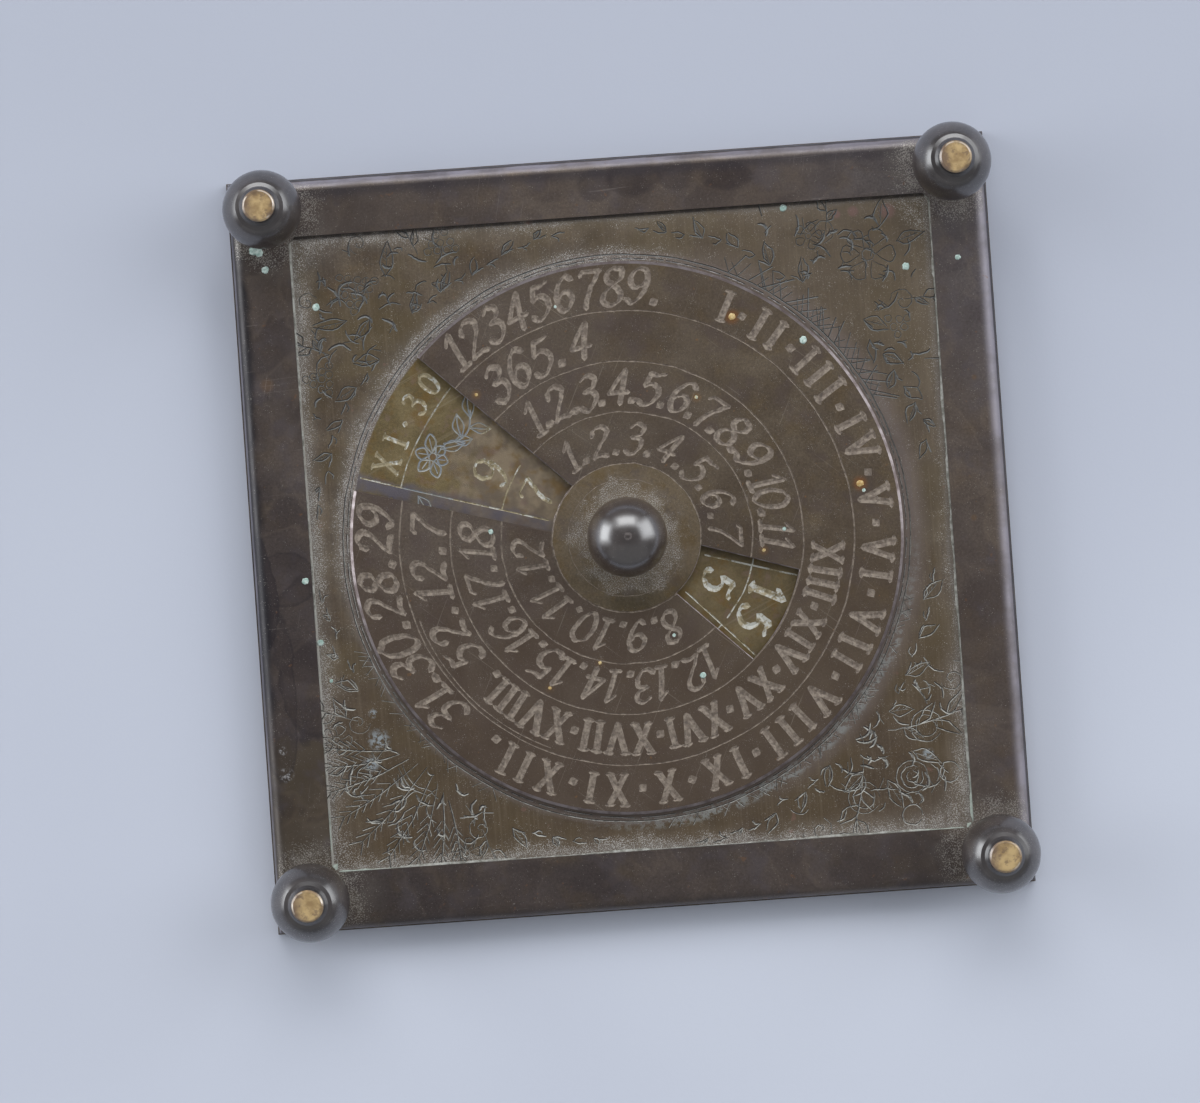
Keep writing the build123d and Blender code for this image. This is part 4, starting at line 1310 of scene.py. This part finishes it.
def lip_deposit():
    """Pale crust in the angle between the dial plate and the lip of the frame."""
    verts, faces = [], []
    x, y, c = OPENING[0], OPENING[1], OPENING_CORNER_CUT
    lip = [(-x, y - c), (-x, -y + c), (-x + c, -y), (x - c, -y)]
    lip += [(x, -y + c), (x, y - c), (x - c, y), (-x + c, y)]
    strengths = (0.6, 2.0, 0.8, 2.6, 0.9, 0.8, 0.2, 0.5)
    for a, b, strength in zip(np.array(lip), np.array(lip[1:] + lip[:1]), strengths):
        length = np.linalg.norm(b - a)
        along = (b - a) / length
        inward = np.array([-along[1], along[0]])
        inward = inward if inward @ -(a + b) > 0 else -inward
        steps = max(int(length / 0.45), 2)
        width = 0.3
        run = []
        for j in range(steps + 1):
            width = min(max(width + rng.gauss(0, 0.07), 0.13), 0.45)
            broad = width * strength
            if broad >= 0.1 and j < steps:
                run.append((a + along * length * j / steps, broad))
            else:
                if len(run) > 1:
                    add_ribbon(verts, faces, run, inward)
                run = []
    new_object("lip_deposit", verts, faces, [lip_deposit_look()], "base")


def spots(name, body, places, top, material):
    """Low irregular domes of corrosion on a flat surface."""
    verts, faces = [], []
    sides = 14
    for x, y, radius in places:
        first = len(verts)
        outline = [radius * rng.uniform(0.86, 1.12) for _ in range(sides)]
        for share, height in ((1.0, 0.0), (0.82, 0.5), (0.45, 0.88)):
            z = top - 0.01 + height * radius * 0.22 + (0.01 if height else 0)
            for k in range(sides):
                a = 2 * math.pi * k / sides
                r = outline[k] * share
                verts.append((x + r * math.cos(a), y + r * math.sin(a), z))
        verts += [(x, y, top + radius * 0.22), (x, y, top - 0.01)]
        for level in range(2):
            for k in range(sides):
                a, b = first + level * sides + k, first + level * sides + (k + 1) % sides
                faces.append((a, b, b + sides, a + sides))
        for k in range(sides):
            a, b = first + 2 * sides + k, first + 2 * sides + (k + 1) % sides
            faces.append((a, b, first + 3 * sides))
            faces.append((first + (k + 1) % sides, first + k, first + 3 * sides + 1))
    new_object(name, verts, faces, [material], body, smooth=True)


def spot_look(name, low, high, metallic):
    look, clump = crumbly_look(name, low, high, metallic, 0.6, 57)
    return look.finish(0.6, clump, 0.08, 0.7)


# x, y and radius of each spot
FRAME_SPOTS = [(-56.0, 48.2, 0.75), (-55.2, 47.9, 0.7), (-54.4, 45.1, 0.6)]
FRAME_SPOTS += [(54.3, 39.5, 0.45), (-51.5, -4.1, 0.55)]
DIAL_SPOTS = [(-46.9, 38.8, 0.62), (-49.9, -13.9, 0.55), (27.5, 49.2, 0.6)]
DIAL_SPOTS += [(46.1, 38.7, 0.62), (-48.6, -20.0, 0.3)]
DISC_SPOTS = [(29.1, 28.2, 0.62), (9.7, -23.2, 0.5), (-21.9, 1.6, 0.42), (24.0, -1.2, 0.32)]
DISC_SPOTS += [(5.6, -16.6, 0.3), (-9.4, 36.1, 0.25), (36.9, 4.0, 0.3), (11.7, 20.4, 0.28)]
verdigris = spot_look("verdigris", (142, 170, 160), (204, 218, 210), 0.0)
gold = spot_look("gold_speck", (178, 142, 84), (216, 194, 142), 0.2)
lip_deposit()
spots("verdigris_on_frame", "base", FRAME_SPOTS, FRAME_TOP, verdigris)
spots("verdigris_on_dial", "base", DIAL_SPOTS, DIAL_TOP, verdigris)
spots("verdigris_on_disc", "disc", DISC_SPOTS, DISC_TOP, verdigris)
spots("gold_specks_on_disc", "disc", GOLD_SPECKS + DISC_STAINS, DISC_TOP, gold)

# ---------------------------------------------------------------- floor, lights, camera


def floor_look():
    look = Look("pale_floor")
    _, y, _ = look.axes()
    look.color = look.mix(look.noise(140.0, 0.0, 2.0, 0.5).step(0.3, 0.7), (196, 200, 213), (205, 209, 221))
    # painted shade: the floor darker towards the top
    look.tint(y.step(-70.0, 100.0, 0.0, 0.9), (179, 183, 196))
    return look.finish(0.85, look.noise(0.6, 0.0, 2.0, 0.5), 0.05, 0.2)


bpy.ops.mesh.primitive_plane_add(size=6, location=(0, 0, -0.00005))
floor = bpy.context.object
floor.name = "floor"
floor.data.materials.append(floor_look())

world = bpy.data.worlds.new("room")
bpy.context.scene.world = world
world.use_nodes = True
world.node_tree.nodes["Background"].inputs[0].default_value = (0.86, 0.92, 1.0, 1)
world.node_tree.nodes["Background"].inputs[1].default_value = 0.2


def softbox(name, place, size, watts, color=(1, 1, 1), core=0.35):
    """Area lamp aimed at the object, brighter towards its middle, as a real softbox is."""
    for part, share, grow, back in (
        ("", (1 - core) / 2, 1.15, 1.02),
        ("_middle", (1 - core) / 2, 0.9, 1.01),
        ("_core", core, 0.62, 1.0),
    ):
        if not share:
            continue
        light = bpy.data.lights.new(name + part, "AREA")
        light.shape = "RECTANGLE"
        light.size, light.size_y = size[0] * grow, size[1] * grow
        light.energy = watts * share
        light.color = color
        obj = bpy.data.objects.new(name + part, light)
        obj.location = Vector(place) * back
        obj.rotation_euler = Vector(place).to_track_quat("Z", "Y").to_euler()
        bpy.context.scene.collection.objects.link(obj)


COOL = (0.93, 0.965, 1.0)
softbox("softbox_left", (-1.28, 0.33, 0.50), (1.42, 1.05), 12.8, COOL, 0.4)
softbox("softbox_right", (1.2, 0.42, 0.69), (1.3, 1.25), 13.2, COOL, 0.15)
softbox("softbox_top", (0.0, 1.2, 1.1), (2.1, 1.05), 16.5, (0.96, 0.98, 1.0), 0.45)
softbox("table_glow", (0.0, -1.6, 1.25), (5.4, 2.4), 7.5, core=0.0)

# The camera looks almost straight down, a little turned, tilted and rolled.
CAMERA_PLACE = (-0.00701, -0.00747, 0.59)
CAMERA_TURNS = (-0.469, 0.191, 4.043)  # about X, Y and Z, in degrees
camera_data = bpy.data.cameras.new("camera")
camera_data.sensor_fit = "HORIZONTAL"
camera_data.sensor_width = 36.0
camera_data.lens = 111.65
camera_data.clip_start, camera_data.clip_end = 0.01, 20
camera = bpy.data.objects.new("camera", camera_data)
turn_x, turn_y, turn_z = (Matrix.Rotation(math.radians(a), 3, axis) for a, axis in zip(CAMERA_TURNS, "XYZ"))
to_view = turn_z @ turn_y @ turn_x
camera.matrix_world = Matrix.Translation(CAMERA_PLACE) @ to_view.transposed().to_4x4()
bpy.context.scene.collection.objects.link(camera)
bpy.context.scene.camera = camera
bpy.context.scene.view_settings.view_transform = "Standard"
